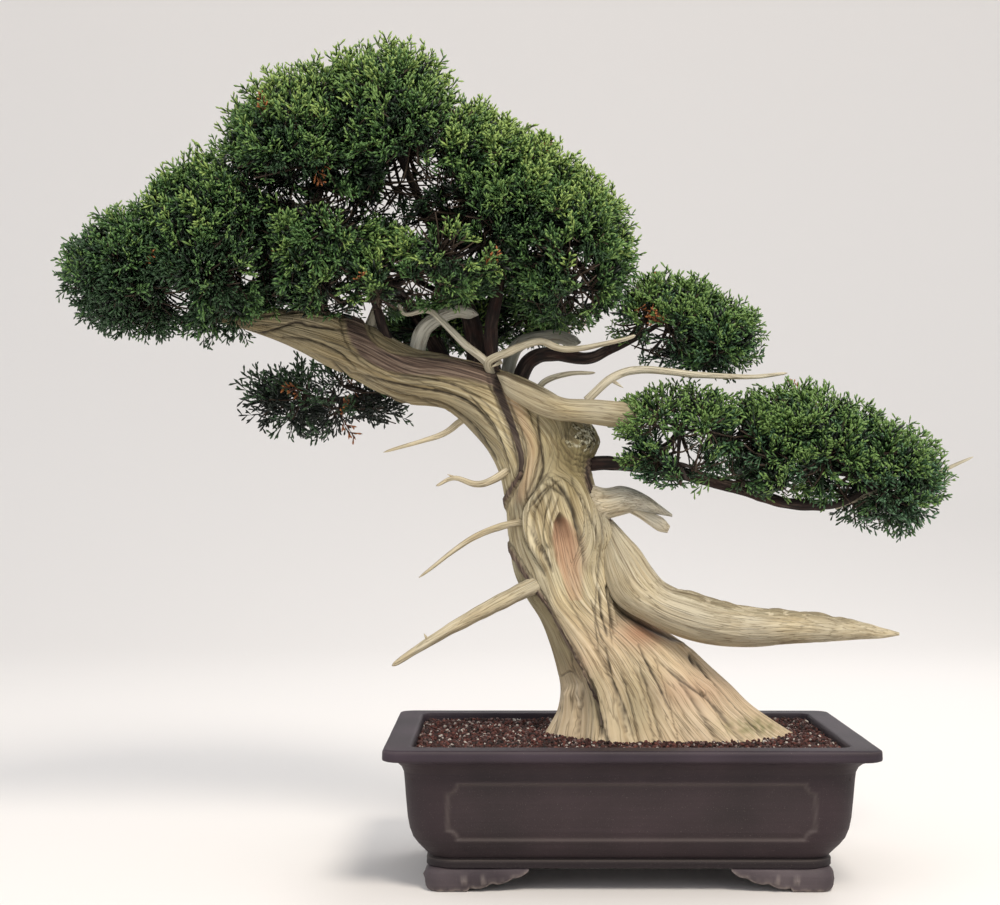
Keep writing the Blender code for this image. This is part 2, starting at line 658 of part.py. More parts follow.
def make_blade(outline, normal, collection):
    bm = bmesh.new()
    face = bm.faces.new([bm.verts.new(point - normal * BLADE_THICKNESS / 2) for point in outline])
    raised = bmesh.ops.extrude_face_region(bm, geom=[face])["geom"]
    corners = [part for part in raised if isinstance(part, bmesh.types.BMVert)]
    bmesh.ops.translate(bm, verts=corners, vec=normal * BLADE_THICKNESS)
    return mesh_object("spray", bm, collection)


def blade_fits(name, outline, root, heading):
    """True if the blade's outline and the line along its middle keep to the mass's own space."""
    middle = [root + heading * BLADE_LENGTH * share for share in (0.4, 0.7)]
    return all(in_own_space(name, point, 1.05) for point in (*outline[1:-1], *middle))


def spray(name, root, heading, length, on_twig, rng, collection):
    """A blade whose tip is this far from the root, with a twig up to its foot where nothing else
    carries it. Nothing is made where it doesn't fit."""
    roll = rng.uniform(0, math.pi)
    side = Matrix.Rotation(roll, 3, heading) @ heading.orthogonal().normalized()
    size = rng.uniform(0.92, 1.06)
    foot = root + heading * (length - BLADE_LENGTH * size)
    outline = blade_outline(foot, heading, side, size)
    if not blade_fits(name, outline, foot, heading):
        return []
    made = [make_blade(outline, heading.cross(side), collection)]
    if on_twig and length > BLADE_LENGTH:
        made.append(cone_between(root, foot + heading * 0.008, TWIG_RADIUS, TWIG_RADIUS * 0.8, collection))
    return made


def lobe_sprays(name, lobe, dense, rng, heel, collection):
    """Sprays all round a lobe. On a dense one they stand out of its core. On a sparse one they leave a
    branch that runs from the heel through the lobe's middle."""
    middle, half = Vector(lobe[0]), lobe[1]
    branch = (middle - heel) * (1 + BRANCH_PAST_MIDDLE)
    made = []
    area = 4 * math.pi * (sum(half) / 3) ** 2
    count = round(SPRAYS_PER_SQUARE_METRE * area) if dense else SPRAYS_A_SPARSE_LOBE
    for direction in even_directions(count, rng.uniform(0, 2 * math.pi)):
        outward = Vector(direction[i] * half[i] for i in range(3))
        if dense:
            root = middle + outward * CORE_SHARE * 0.5
            heading = (outward.normalized() + Vector((0, 0, LIFT))).normalized()
        else:
            share = (middle + outward * 0.7 - heel).dot(branch) / branch.length_squared
            root = heel + branch * max(0.15, min(0.95, share - 0.12))
            heading = (middle + outward + Vector((0, 0, LIFT * half[2] / 2)) - root).normalized()
        length = 0.0
        while crown_nearness(root + heading * (length + 0.004)) < 1.0:
            length += 0.004
        made += spray(name, root, heading, length, not dense, rng, collection)
    if not dense:
        made.append(cone_between(heel, heel + branch, TWIG_RADIUS * 1.3, TWIG_RADIUS, collection, 5))
    return made


def boxes_meet(one, other):
    corners = [[vertex.co for vertex in thing.data.vertices] for thing in (one, other)]
    low = [[min(corner[i] for corner in group) for i in range(3)] for group in corners]
    high = [[max(corner[i] for corner in group) for i in range(3)] for group in corners]
    return all(low[0][i] < high[1][i] and low[1][i] < high[0][i] for i in range(3))


def make_mass(name, number, neighbours):
    """The stem and what grows from it, joined into one solid and cut clear of its neighbours."""
    dense, lobes, (_, _, tip_radius, bough) = MASSES[name]
    rng = random.Random(SEED + number)
    scratch = new_collection("growing")
    tip, before = Vector(bough[-1]), Vector(bough[-2])
    first = Vector(lobes[0][0])
    ahead = (smooth_line(bough)[-1] - smooth_line(bough)[-2]).normalized()
    heel = tip + ahead * STEM_LENGTH
    stem = cone_between(tip + ahead * GAP, heel, tip_radius, tip_radius * 0.9, scratch, 6)
    pieces = []
    if dense:
        root = heel - ahead * OVERLAP
        pieces.append(cone_between(root, first, tip_radius * 0.8, tip_radius * 0.6, scratch, 5))
    for lobe in lobes[1:]:
        middle = Vector(lobe[0])
        pieces.append(cone_between(first, middle, tip_radius * 0.7, tip_radius * 0.5, scratch, 5))
    for lobe in lobes:
        if dense:
            pieces.append(core_of(name, lobe, scratch))
        pieces += lobe_sprays(name, lobe, dense, rng, heel - ahead * OVERLAP, scratch)
    mass = joined(stem, pieces, "UNION", "MANIFOLD")
    near = [neighbour for neighbour in neighbours if boxes_meet(neighbour, mass)]
    mass = joined(mass, [swollen(neighbour) for neighbour in near], "DIFFERENCE", "MANIFOLD")
    scratch.objects.unlink(mass)
    OBJECT.objects.link(mass)
    bpy.data.collections.remove(scratch)
    mass.name = "foliage_" + name
    mass.data.materials.clear()
    mass.data.materials.append(FOLIAGE)
    return mass


def outline_line(stations):
    """The limb lines' form of a lofted limb: its middle and its larger half width at each station."""
    line = []
    for left, right, front, back in stations:
        left, right = Vector((left[0], 0, left[1])), Vector((right[0], 0, right[1]))
        line.append(((left + right) / 2, max((right - left).length / 2, front, back)))
    return line


def limbs_to_make():
    """(name, host, root radius, tip radius, points, material) for each limb, carriers first."""
    boughs = [("bough_" + name, *bough[:3], bough[3], BARK) for name, (_, _, bough) in MASSES.items()]
    boughs.sort(key=lambda limb: limb[1].startswith("bough_"))
    dead = [(name, *limb[:3], limb[3], DEADWOOD_FINISH) for name, limb in DEADWOOD.items()]
    return boughs + dead


def make_limbs(hosts):
    made = []
    for name, host, root_radius, tip_radius, points, material in limbs_to_make():
        stations = limb_stations(root_radius, tip_radius, points)
        limb = tapering_limb(name, stations, material)
        for carrier in host.split():
            limb = seat(limb, hosts[carrier])
        hosts[name] = limb
        LIMB_LINES.append(stations)
        made.append(hosts[name])
    return made


def stand_on_origin(things):
    """Parents everything to one empty, and moves that so that the box stands centred on the origin."""
    bpy.context.view_layer.update()
    corners = [thing.matrix_world @ vertex.co for thing in things for vertex in thing.data.vertices]
    low = [min(corner[i] for corner in corners) for i in range(3)]
    high = [max(corner[i] for corner in corners) for i in range(3)]
    stand = bpy.data.objects.new("bonsai", None)
    OBJECT.objects.link(stand)
    stand.location = (-(low[0] + high[0]) / 2, -(low[1] + high[1]) / 2, -low[2])
    for thing in things:
        thing.parent = stand


def shade(things):
    for thing in things:
        if not thing.name.startswith(("foliage", "foot")):
            thing.data.shade_smooth()
            thing.data.set_sharp_from_angle(angle=math.radians(40))


clear_scene()
OBJECT = new_collection("bonsai")
HELPERS = new_collection("helpers")
HELPERS.hide_render = True
CLAY = make_material("clay")
SOIL = make_material("soil")
DEADWOOD_FINISH = make_material("deadwood")
BARK = make_material("bark")
FOLIAGE = make_material("foliage")
LIMB_LINES = [outline_line(TRUNK), outline_line((TRUNK[-1], *LEFT_LIMB))]

parts = [make_pot(), make_soil()]
for foot_name, foot_x, foot_y in (("foot_front_left", -1, -1), ("foot_front_right", 1, -1),
                                  ("foot_back_left", -1, 1), ("foot_back_right", 1, 1)):
    parts.append(make_foot(foot_name, foot_x, foot_y))
carriers = {"trunk": make_trunk(), "left_limb": make_left_limb()}
parts += carriers.values()
parts += make_limbs(carriers)
foliage = []
for index, mass_name in enumerate(MASSES):
    foliage.append(make_mass(mass_name, index, [*carriers.values(), *foliage]))
parts += foliage
shade(parts)
stand_on_origin(parts)
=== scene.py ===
"""The looks of a driftwood-style conifer bonsai in an unglazed clay pot.

Metres, +Z up, seen from the front along +Y. Shapes are laid out from the middle of the pot, and each
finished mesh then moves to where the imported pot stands.
"""

import math
import random

import bmesh
import bpy
import numpy as np
from mathutils import Matrix, Vector, noise


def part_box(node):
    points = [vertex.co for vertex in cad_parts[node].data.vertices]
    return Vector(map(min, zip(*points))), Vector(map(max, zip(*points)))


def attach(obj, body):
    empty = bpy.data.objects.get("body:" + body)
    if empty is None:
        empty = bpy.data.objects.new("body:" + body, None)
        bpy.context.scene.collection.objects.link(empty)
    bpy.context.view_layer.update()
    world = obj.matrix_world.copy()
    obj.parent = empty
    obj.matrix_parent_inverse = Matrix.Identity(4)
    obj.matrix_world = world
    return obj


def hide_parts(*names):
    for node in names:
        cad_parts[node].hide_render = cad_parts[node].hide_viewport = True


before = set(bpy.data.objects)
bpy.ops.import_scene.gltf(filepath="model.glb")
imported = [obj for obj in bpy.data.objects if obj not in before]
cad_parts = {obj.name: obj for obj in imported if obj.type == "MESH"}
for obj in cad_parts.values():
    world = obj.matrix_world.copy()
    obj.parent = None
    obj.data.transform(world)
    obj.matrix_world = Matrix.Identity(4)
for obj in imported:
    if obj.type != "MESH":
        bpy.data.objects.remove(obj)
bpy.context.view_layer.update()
POT_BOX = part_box("pot")
POT_MIDDLE = Vector(((POT_BOX[0].x + POT_BOX[1].x) / 2, (POT_BOX[0].y + POT_BOX[1].y) / 2, 0.0))

SEED = 11

# Camera: how far in front of the pot's middle it stands, its height and side step, and its lens
CAMERA_AWAY = 2.010
CAMERA_HEIGHT = 0.427
CAMERA_ASIDE = -0.1287
CAMERA_LENS = 64.15
CAMERA_DIP = math.radians(1.109)  # above the level
CAMERA_TURN = math.radians(0.257)
FOCAL_PIXELS = 1782.0  # the lens in pixels of the 1000 by 905 frame
LEVEL_ROW = 487.0  # the row of the horizon
AHEAD_COLUMN = 508.0  # the column straight ahead

# The paper sweep that the pot stands on: how far it lies flat in front and behind, and its bend
SWEEP_FLAT = 9.0
SWEEP_BEHIND = 2.6
SWEEP_RADIUS = 2.4
# Soft lights: name, place, width, watts and colour
LIGHTS = (("key", (0.9, -2.2, 2.9), 1.1, 84, "fff6ea"), ("fill", (-2.4, -1.8, 1.4), 2.0, 7, "eef3ff"),
          ("rim", (0.9, 2.3, 2.4), 1.6, 24, "ffffff"))
LIGHTS_AIM = (0.0, 0.0, 0.45)

# Pot
POT_LENGTH = 0.520
POT_DEPTH = 0.340
# The wall from under the base, up the outside, over the lip and down the inside:
# (height, inset from the lip, corner radius)
POT_PROFILE = (
    (0.0253, 0.060, 0.020), (0.0253, 0.046, 0.029), (0.0262, 0.0442, 0.030), (0.0325, 0.0440, 0.030),
    (0.0338, 0.0446, 0.030), (0.0346, 0.0468, 0.028), (0.0352, 0.0470, 0.028), (0.0368, 0.0455, 0.029),
    (0.0430, 0.0400, 0.032), (0.0490, 0.0348, 0.034), (0.0560, 0.0300, 0.036), (0.0660, 0.0266, 0.036),
    (0.0780, 0.0245, 0.036), (0.1000, 0.0226, 0.035), (0.1180, 0.0214, 0.034), (0.1270, 0.0206, 0.033),
    (0.1330, 0.0184, 0.031), (0.1375, 0.0146, 0.028), (0.1405, 0.0096, 0.024), (0.1418, 0.0052, 0.021),
    (0.1424, 0.0022, 0.018), (0.1434, 0.0004, 0.017), (0.1450, 0.0000, 0.016), (0.1520, 0.0002, 0.016),
    (0.1537, 0.0008, 0.016), (0.1547, 0.0022, 0.015), (0.1550, 0.0042, 0.015), (0.1550, 0.0262, 0.013),
    (0.1546, 0.0285, 0.012), (0.1530, 0.0298, 0.011), (0.1490, 0.0302, 0.012), (0.1250, 0.0310, 0.020),
    (0.1200, 0.0450, 0.016),
)
POT_COLUMNS = 480
OUTSIDE_POINTS = 24  # of the profile, up to the lip's edge
PROFILE_STEP = 0.0040  # between rows of the wall, and a quarter of that near the panel's edges
PANEL_LOW, PANEL_HIGH = 0.0570, 0.1180  # the sunk panel's lower and upper edge
PANEL_END = 0.067  # from the lip's end to the panel's end
PANEL_NOTCH = 0.0105  # the corners are notched with a quarter round
PANEL_DEPTH = 0.0030
PANEL_EDGE = 0.0024
# Pale rims, painted highlights along the sunk panel's outline and the plinth's ledge and a pale line
# round the lip's edge: 0 for a way inside the panel or 1 for a height, where it is, its width, how pale
RIMS = ((0, 0.001, 0.0020, 0.13), (1, 0.1535, 0.0015, 0.10), (1, 0.0336, 0.0009, 0.22))
FOOT_HEIGHT = 0.0255
FOOT_LONG, FOOT_SHORT = 0.106, 0.086
FOOT_THICKNESS = 0.018
FOOT_INSET = 0.047  # from the lip's edge to the foot's outer face
FOOT_CORNER = 0.014
FOOT_GRID = (40, 150)  # columns and rows

# Soil
SOIL_TOP = 0.1500
SOIL_DIP = 0.0030  # how far hollows between the mounds sink
SOIL_MOUNDS_APART = 0.045
SOIL_LEVEL_RIM = 0.012  # the soil stays level this far round the trunk
SOIL_EDGE = 0.0306
SOIL_BED_CELLS = (90, 54)
GRAINS = 7800
SOIL_MIX = (40, 24, 20, 6, 10)  # how much of each mineral: akadama, red lava, dark loam, pumice and grit
GRAIN_SIZES = (0.0012, 0.0027)  # radius, as akadama and pumice are sieved for pots

# Trunk: stations from the soil to the fork, each with its left and right outline point (x, z) and how
# far it reaches to the front and to the back
TRUNK = (
    ((-0.089, 0.1475), (0.196, 0.1475), 0.083, 0.079),
    ((-0.080, 0.162), (0.170, 0.164), 0.074, 0.070),
    ((-0.072, 0.178), (0.142, 0.184), 0.066, 0.062),
    ((-0.069, 0.200), (0.121, 0.205), 0.060, 0.056),
    ((-0.073, 0.222), (0.098, 0.226), 0.055, 0.052),
    ((-0.081, 0.250), (0.072, 0.250), 0.050, 0.048),
    ((-0.092, 0.277), (0.034, 0.276), 0.047, 0.045),
    ((-0.108, 0.302), (0.006, 0.304), 0.045, 0.043),
    ((-0.122, 0.330), (-0.004, 0.338), 0.044, 0.042),
    ((-0.129, 0.372), (-0.012, 0.378), 0.043, 0.041),
    ((-0.132, 0.407), (-0.027, 0.416), 0.042, 0.040),
    ((-0.138, 0.439), (-0.035, 0.452), 0.042, 0.040),
    ((-0.151, 0.466), (-0.026, 0.480), 0.042, 0.039),
    ((-0.168, 0.487), (-0.052, 0.515), 0.040, 0.037),
    ((-0.186, 0.505), (-0.108, 0.549), 0.037, 0.034),
    ((-0.208, 0.518), (-0.183, 0.573), 0.033, 0.031),
    ((-0.254, 0.526), (-0.236, 0.585), 0.031, 0.030),
    ((-0.304, 0.552), (-0.284, 0.610), 0.030, 0.029),
    ((-0.343, 0.570), (-0.328, 0.624), 0.027, 0.026),
    ((-0.380, 0.588), (-0.374, 0.628), 0.019, 0.019),
    ((-0.414, 0.601), (-0.411, 0.625), 0.011, 0.011),
    ((-0.452, 0.613), (-0.451, 0.619), 0.003, 0.003),
)
TRUNK_SIDES = 256
TRUNK_ROWS = 384  # of the trunk, and again of the left limb
TRUNK_SHARE = 0.545  # where the left limb begins along both
TRUNK_STEPS = 4000  # in which both are read along their curve
FRONT_CROWDING = 0.35  # how much closer the columns stand at the front
GRAIN_RADIUS = 0.055  # the trunk's grain is laid out on a tube of this radius, and fans out at the roots
ROOT_LOBES = 6
ROOT_LOBE_DEPTH = 0.15
FLUTE_DEPTH = 0.04
ROOT_FLARE_HEIGHT = 0.10

# Marks on the trunk's front, as lines of places in the frame of 1000 by 905.
# Live veins: half width at the start and end, rise in millimetres, how dark, and the line
VEINS = (
    (10.0, 9.0, 3.0, 0.0, ((350, 306), (357, 334), (368, 350), (386, 361), (412, 366), (446, 368), (472, 372),
                          (494, 378))),
    (5.0, 3.0, -1.2, 0.75, ((492, 372), (500, 394), (508, 416), (516, 438), (521, 458), (519, 478))),
    (2.3, 2.0, 2.2, 0.0, ((520, 474), (512, 488), (505, 503), (503, 517), (505, 539), (519, 563), (533, 585),
                          (552, 610), (564, 634), (577, 656), (589, 676), (598, 700), (601, 724))),
    (2.4, 3.6, 2.0, 0.25, ((588, 460), (587, 480), (595, 500), (609, 520), (625, 540))),
)
# Creases: half width, depth in millimetres, and the line; each is also darkened with painted shade
CREASES = (
    (1.3, 2.0, ((484, 376), (497, 400), (507, 424), (513, 448), (517, 468))),
    (1.4, 2.6, ((538, 408), (539, 430), (541, 450), (543, 468), (536, 488), (527, 502))),
    (1.5, 3.6, ((546, 476), (536, 490), (526, 505), (521, 522), (524, 540), (535, 557), (544, 576))),
    (1.4, 3.0, ((547, 476), (560, 489), (570, 506), (576, 526), (580, 546))),
    (0.9, 2.0, ((534, 506), (541, 495), (548, 487))),
    (0.9, 2.0, ((532, 526), (537, 540), (545, 554))),
    (1.1, 2.6, ((541, 545), (547, 558), (552, 572))),
    (0.8, 1.8, ((549, 498), (545, 516), (546, 530))),
    (1.2, 3.0, ((604, 554), (607, 575), (605, 590), (609, 610), (613, 633))),
    (1.0, 2.6, ((611, 554), (613, 572), (610, 587))),
    (1.1, 2.4, ((598, 588), (600, 612), (607, 636))),
    (0.9, 1.6, ((591, 600), (596, 622), (603, 642))),
    (2.2, 4.8, ((595, 680), (599, 700), (600, 735))),
    (1.3, 2.4, ((605, 648), (611, 678), (620, 700), (633, 735))),
    (1.1, 2.6, ((638, 644), (648, 668), (659, 689), (668, 708))),
    (1.1, 2.0, ((656, 659), (686, 686), (710, 704), (730, 728))),
    (1.2, 2.6, ((694, 657), (701, 668), (714, 684), (741, 714), (760, 732))),
    (2.2, 3.0, ((690, 654), (695, 665))),
    (0.9, 1.6, ((570, 650), (573, 668), (581, 682))),
    (0.9, 1.4, ((558, 677), (570, 671), (578, 678))),
    (2.6, 4.6, ((611, 594), (622, 610), (640, 622), (668, 636), (690, 645))),
    (1.2, 2.6, ((226, 324), (259, 333), (295, 322), (307, 325), (346, 330))),
    (1.2, 2.6, ((283, 337), (312, 341), (339, 352), (356, 367))),
    (1.4, 3.0, ((355, 372), (389, 381), (416, 387), (449, 393), (476, 406), (500, 436))),
    (1.1, 2.2, ((392, 373), (420, 377), (452, 384), (480, 398))),
    (1.1, 2.2, ((330, 358), (352, 378), (380, 392), (410, 402))),
    (1.2, 2.4, ((430, 398), (455, 410), (480, 432), (497, 460))),
    (1.1, 2.2, ((470, 395), (492, 420), (505, 448), (509, 472))),
    (1.0, 1.8, ((250, 318), (300, 314), (344, 318))),
)
# Rolls of wood: half width at the start and end, rise in millimetres, and the line
ROLLS = (
    (7.0, 5.0, 3.8, ((505, 384), (516, 400), (526, 424), (533, 447), (531, 470), (523, 492), (520, 514))),
    (6.0, 4.5, 6.0, ((560, 472), (547, 482), (538, 494), (531, 508), (529, 522), (532, 538), (540, 553),
                     (548, 572))),
    (3.6, 2.6, 4.2, ((556, 491), (552, 506), (548, 520), (547, 534), (551, 550))),
    (6.5, 6.0, 4.6, ((541, 474), (553, 481), (566, 490), (577, 508), (584, 528), (588, 550), (590, 576))),
    (6.0, 7.0, 3.8, ((576, 468), (580, 490), (591, 510), (602, 530), (605, 552))),
    (9.0, 10.0, 6.4, ((545, 582), (562, 608), (577, 634), (592, 660), (602, 685), (611, 710), (626, 768))),
    (7.0, 7.0, 2.6, ((597, 496), (605, 528), (606, 560), (603, 592), (602, 622), (607, 656))),
    (2.4, 2.0, 2.2, ((609, 560), (611, 580), (611, 605), (616, 630))),
    (8.0, 9.0, 4.2, ((642, 652), (656, 690), (676, 768))),
    (8.0, 8.0, 4.6, ((692, 674), (718, 702), (776, 768))),
    (6.0, 7.0, 3.8, ((668, 658), (692, 690), (740, 768))),
    (9.0, 12.0, 5.4, ((574, 682), (572, 706), (560, 768))),
    (7.0, 8.0, 3.4, ((624, 662), (636, 696), (652, 768))),
    (8.0, 7.0, 2.4, ((228, 317), (300, 317), (346, 322))),
    (8.0, 7.0, 2.2, ((300, 340), (340, 354), (380, 376), (420, 389), (456, 402), (482, 425), (500, 456))),
    (8.0, 6.0, 2.0, ((300, 352), (350, 378), (395, 398), (440, 414), (468, 438), (489, 472))),
    (5.0, 4.0, 2.4, ((395, 375), (430, 381), (462, 392), (490, 414), (506, 445), (512, 470))),
)
# The rotted hollow: row, middle column, half width
HOLLOW = ((512, 560, 1), (523, 561, 8), (538, 564, 13), (558, 567, 13), (576, 571, 10), (600, 575, 6))
HOLLOW_DEPTH = 9.0
BURL = ((584, 436), 15.0, 3.6)  # middle, radius, rise in millimetres
# Knots that the grain parts round: middle, and half width and height
PARTINGS = (((584, 436), (16, 20)), ((556, 526), (25, 50)))

# Dead limbs drawn between an upper and a lower outline: places in the frame and the depth behind the
# pot's middle, with the half thickness from front to back
RIGHT_LIMB = (
    ((612, 519), (598, 531), 0.002, 0.014), ((627, 535), (600, 557), -0.014, 0.024),
    ((640, 549), (604, 580), -0.025, 0.030), ((652, 567), (616, 603), -0.031, 0.031),
    ((667, 584), (645, 621), -0.034, 0.030), ((689, 592), (678, 636), -0.036, 0.028),
    ((714, 600), (712, 644), -0.037, 0.027), ((750, 607), (750, 646), -0.038, 0.025),
    ((790, 611), (790, 643), -0.040, 0.021), ((828, 616), (827, 641), -0.042, 0.016),
    ((858, 621), (857, 639), -0.043, 0.011), ((880, 627), (879, 638), -0.044, 0.007),
    ((898, 632), (898, 635), -0.044, 0.002),
)
TOP_PLATE = (
    ((496, 373), (500, 382), -0.036, 0.008), ((505, 372), (507, 396), -0.041, 0.012),
    ((517, 377), (522, 406), -0.044, 0.013), ((533, 383), (538, 415), -0.047, 0.013),
    ((548, 391), (555, 420), -0.049, 0.013), ((566, 398), (572, 422), -0.048, 0.013),
    ((590, 399), (590, 424), -0.047, 0.013), ((614, 401), (612, 427), -0.045, 0.012),
    ((632, 403), (630, 428), -0.042, 0.010), ((641, 409), (640, 420), -0.040, 0.004),
)
RIGHT_STUB = (
    ((586, 482), (590, 528), -0.004, 0.020), ((604, 488), (606, 520), -0.010, 0.019),
    ((620, 486), (619, 516), -0.015, 0.018), ((634, 489), (634, 512), -0.019, 0.016),
    ((648, 496), (648, 513), -0.021, 0.012), ((660, 505), (661, 515), -0.023, 0.007),
    ((672, 514), (672, 517), -0.024, 0.002),
)
STUB_FLAP = (
    ((626, 500), (628, 512), -0.014, 0.010), ((641, 509), (639, 518), -0.020, 0.009),
    ((653, 513), (649, 525), -0.024, 0.007), ((663, 518), (658, 531), -0.026, 0.005),
    ((670, 526), (667, 533), -0.028, 0.002),
)
# Their pieces: the name, the node replaced, and the stations, columns, rows and looks of each part
OUTLINED = (
    ("right_limb_wood", "right_limb",
     ((RIGHT_LIMB, 110, 330, {"grey": 0.40, "flakes": 1.6, "green": 0.12}),)),
    ("top_plate_wood", "top_jin",
     ((TOP_PLATE, 80, 160, {"grey": 0.35, "rim": 0.85, "green": 0.30, "even_shade": 0.22}),)),
    ("right_stub_wood", "right_stub", ((RIGHT_STUB, 64, 110, {"grey": 1.0, "start": 4.0}),
                                       (STUB_FLAP, 32, 60, {"grey": 0.8, "start": 6.0}))),
)

TAPER = 1.35
LIMB_STEP = 0.0022  # between a limb's rows
THICK_LIMB = 0.008
# Dead limbs and stubs: radius at the root and tip, and the line, root first
DEADWOOD = {
    "lower_left_jin": (0.0105, 0.003, (
        (-0.085, -0.022, 0.325), (-0.140, -0.034, 0.298), (-0.181, -0.042, 0.277),
        (-0.227, -0.050, 0.250), (-0.256, -0.054, 0.231))),
    "thin_left_jin": (0.0045, 0.0016, (
        (-0.100, -0.018, 0.390), (-0.137, -0.030, 0.383), (-0.174, -0.038, 0.367), (-0.227, -0.044, 0.327))),
    "middle_left_jin": (0.0050, 0.0018, (
        (-0.120, -0.014, 0.452), (-0.145, -0.022, 0.435), (-0.165, -0.026, 0.430),
        (-0.188, -0.028, 0.437), (-0.209, -0.030, 0.428))),
    "upper_left_jin": (0.0042, 0.0016, (
        (-0.160, 0.000, 0.512), (-0.182, -0.002, 0.501), (-0.204, -0.004, 0.486), (-0.269, -0.006, 0.466))),
    "left_stub": (0.008, 0.005, (
        (-0.290, 0.004, 0.592), (-0.281, 0.002, 0.616), (-0.274, 0.000, 0.640))),
    "wavy_left_jin": (0.0050, 0.002, (
        (-0.148, -0.014, 0.552), (-0.153, -0.032, 0.566), (-0.174, -0.034, 0.583), (-0.188, -0.034, 0.597),
        (-0.204, -0.034, 0.613), (-0.218, -0.034, 0.623), (-0.242, -0.034, 0.619), (-0.251, -0.034, 0.631))),
    "wavy_right_jin": (0.0052, 0.002, (
        (-0.146, -0.016, 0.550), (-0.150, -0.034, 0.566), (-0.129, -0.039, 0.576), (-0.111, -0.041, 0.584),
        (-0.092, -0.043, 0.588),
        (-0.077, -0.045, 0.582), (-0.061, -0.046, 0.579), (-0.037, -0.047, 0.582), (-0.004, -0.049, 0.589),
        (0.012, -0.050, 0.594))),
    "long_right_jin": (0.0050, 0.0018, (
        (-0.042, -0.046, 0.522), (-0.014, -0.048, 0.547), (0.019, -0.050, 0.556),
        (0.082, -0.052, 0.550), (0.138, -0.054, 0.548), (0.178, -0.056, 0.552))),
    "short_right_jin": (0.0040, 0.0018, (
        (-0.100, 0.010, 0.530), (-0.086, 0.006, 0.547), (-0.060, 0.002, 0.555), (-0.030, 0.000, 0.556))),
    "back_stub": (0.0090, 0.0070, (
        (-0.134, 0.024, 0.530), (-0.120, 0.052, 0.588), (-0.080, 0.060, 0.602), (-0.044, 0.060, 0.595))),
    "arched_stub": (0.0100, 0.0065, (
        (-0.236, 0.002, 0.562), (-0.226, 0.000, 0.602), (-0.206, -0.004, 0.619),
        (-0.186, -0.006, 0.625), (-0.162, -0.008, 0.621))),
    "right_tip_jin": (0.0040, 0.0016, (
        (0.240, 0.004, 0.405), (0.286, 0.002, 0.421), (0.338, 0.000, 0.436), (0.395, -0.002, 0.461))),
}
# Short spurs and split points on them: the limb, then where the spur starts and ends, and its radius
SPURS = (
    ("lower_left_jin", (-0.214, -0.048, 0.254), (-0.221, -0.050, 0.266), 0.0030),
    ("thin_left_jin", (-0.108, -0.022, 0.388), (-0.104, -0.030, 0.374), 0.0026),
    ("wavy_right_jin", (-0.136, -0.032, 0.566), (-0.147, -0.036, 0.560), 0.0026),
    ("long_right_jin", (-0.016, -0.048, 0.546), (-0.002, -0.052, 0.536), 0.0026),
    ("middle_left_jin", (-0.186, -0.028, 0.437), (-0.196, -0.032, 0.441), 0.0018),
)

# How grey dead limbs have weathered
GREYED = {"wavy_left_jin": 0.60, "wavy_right_jin": 0.40, "arched_stub": 0.9, "back_stub": 0.9,
          "left_stub": 0.6, "long_right_jin": 0.45, "short_right_jin": 0.5, "right_tip_jin": 0.5}

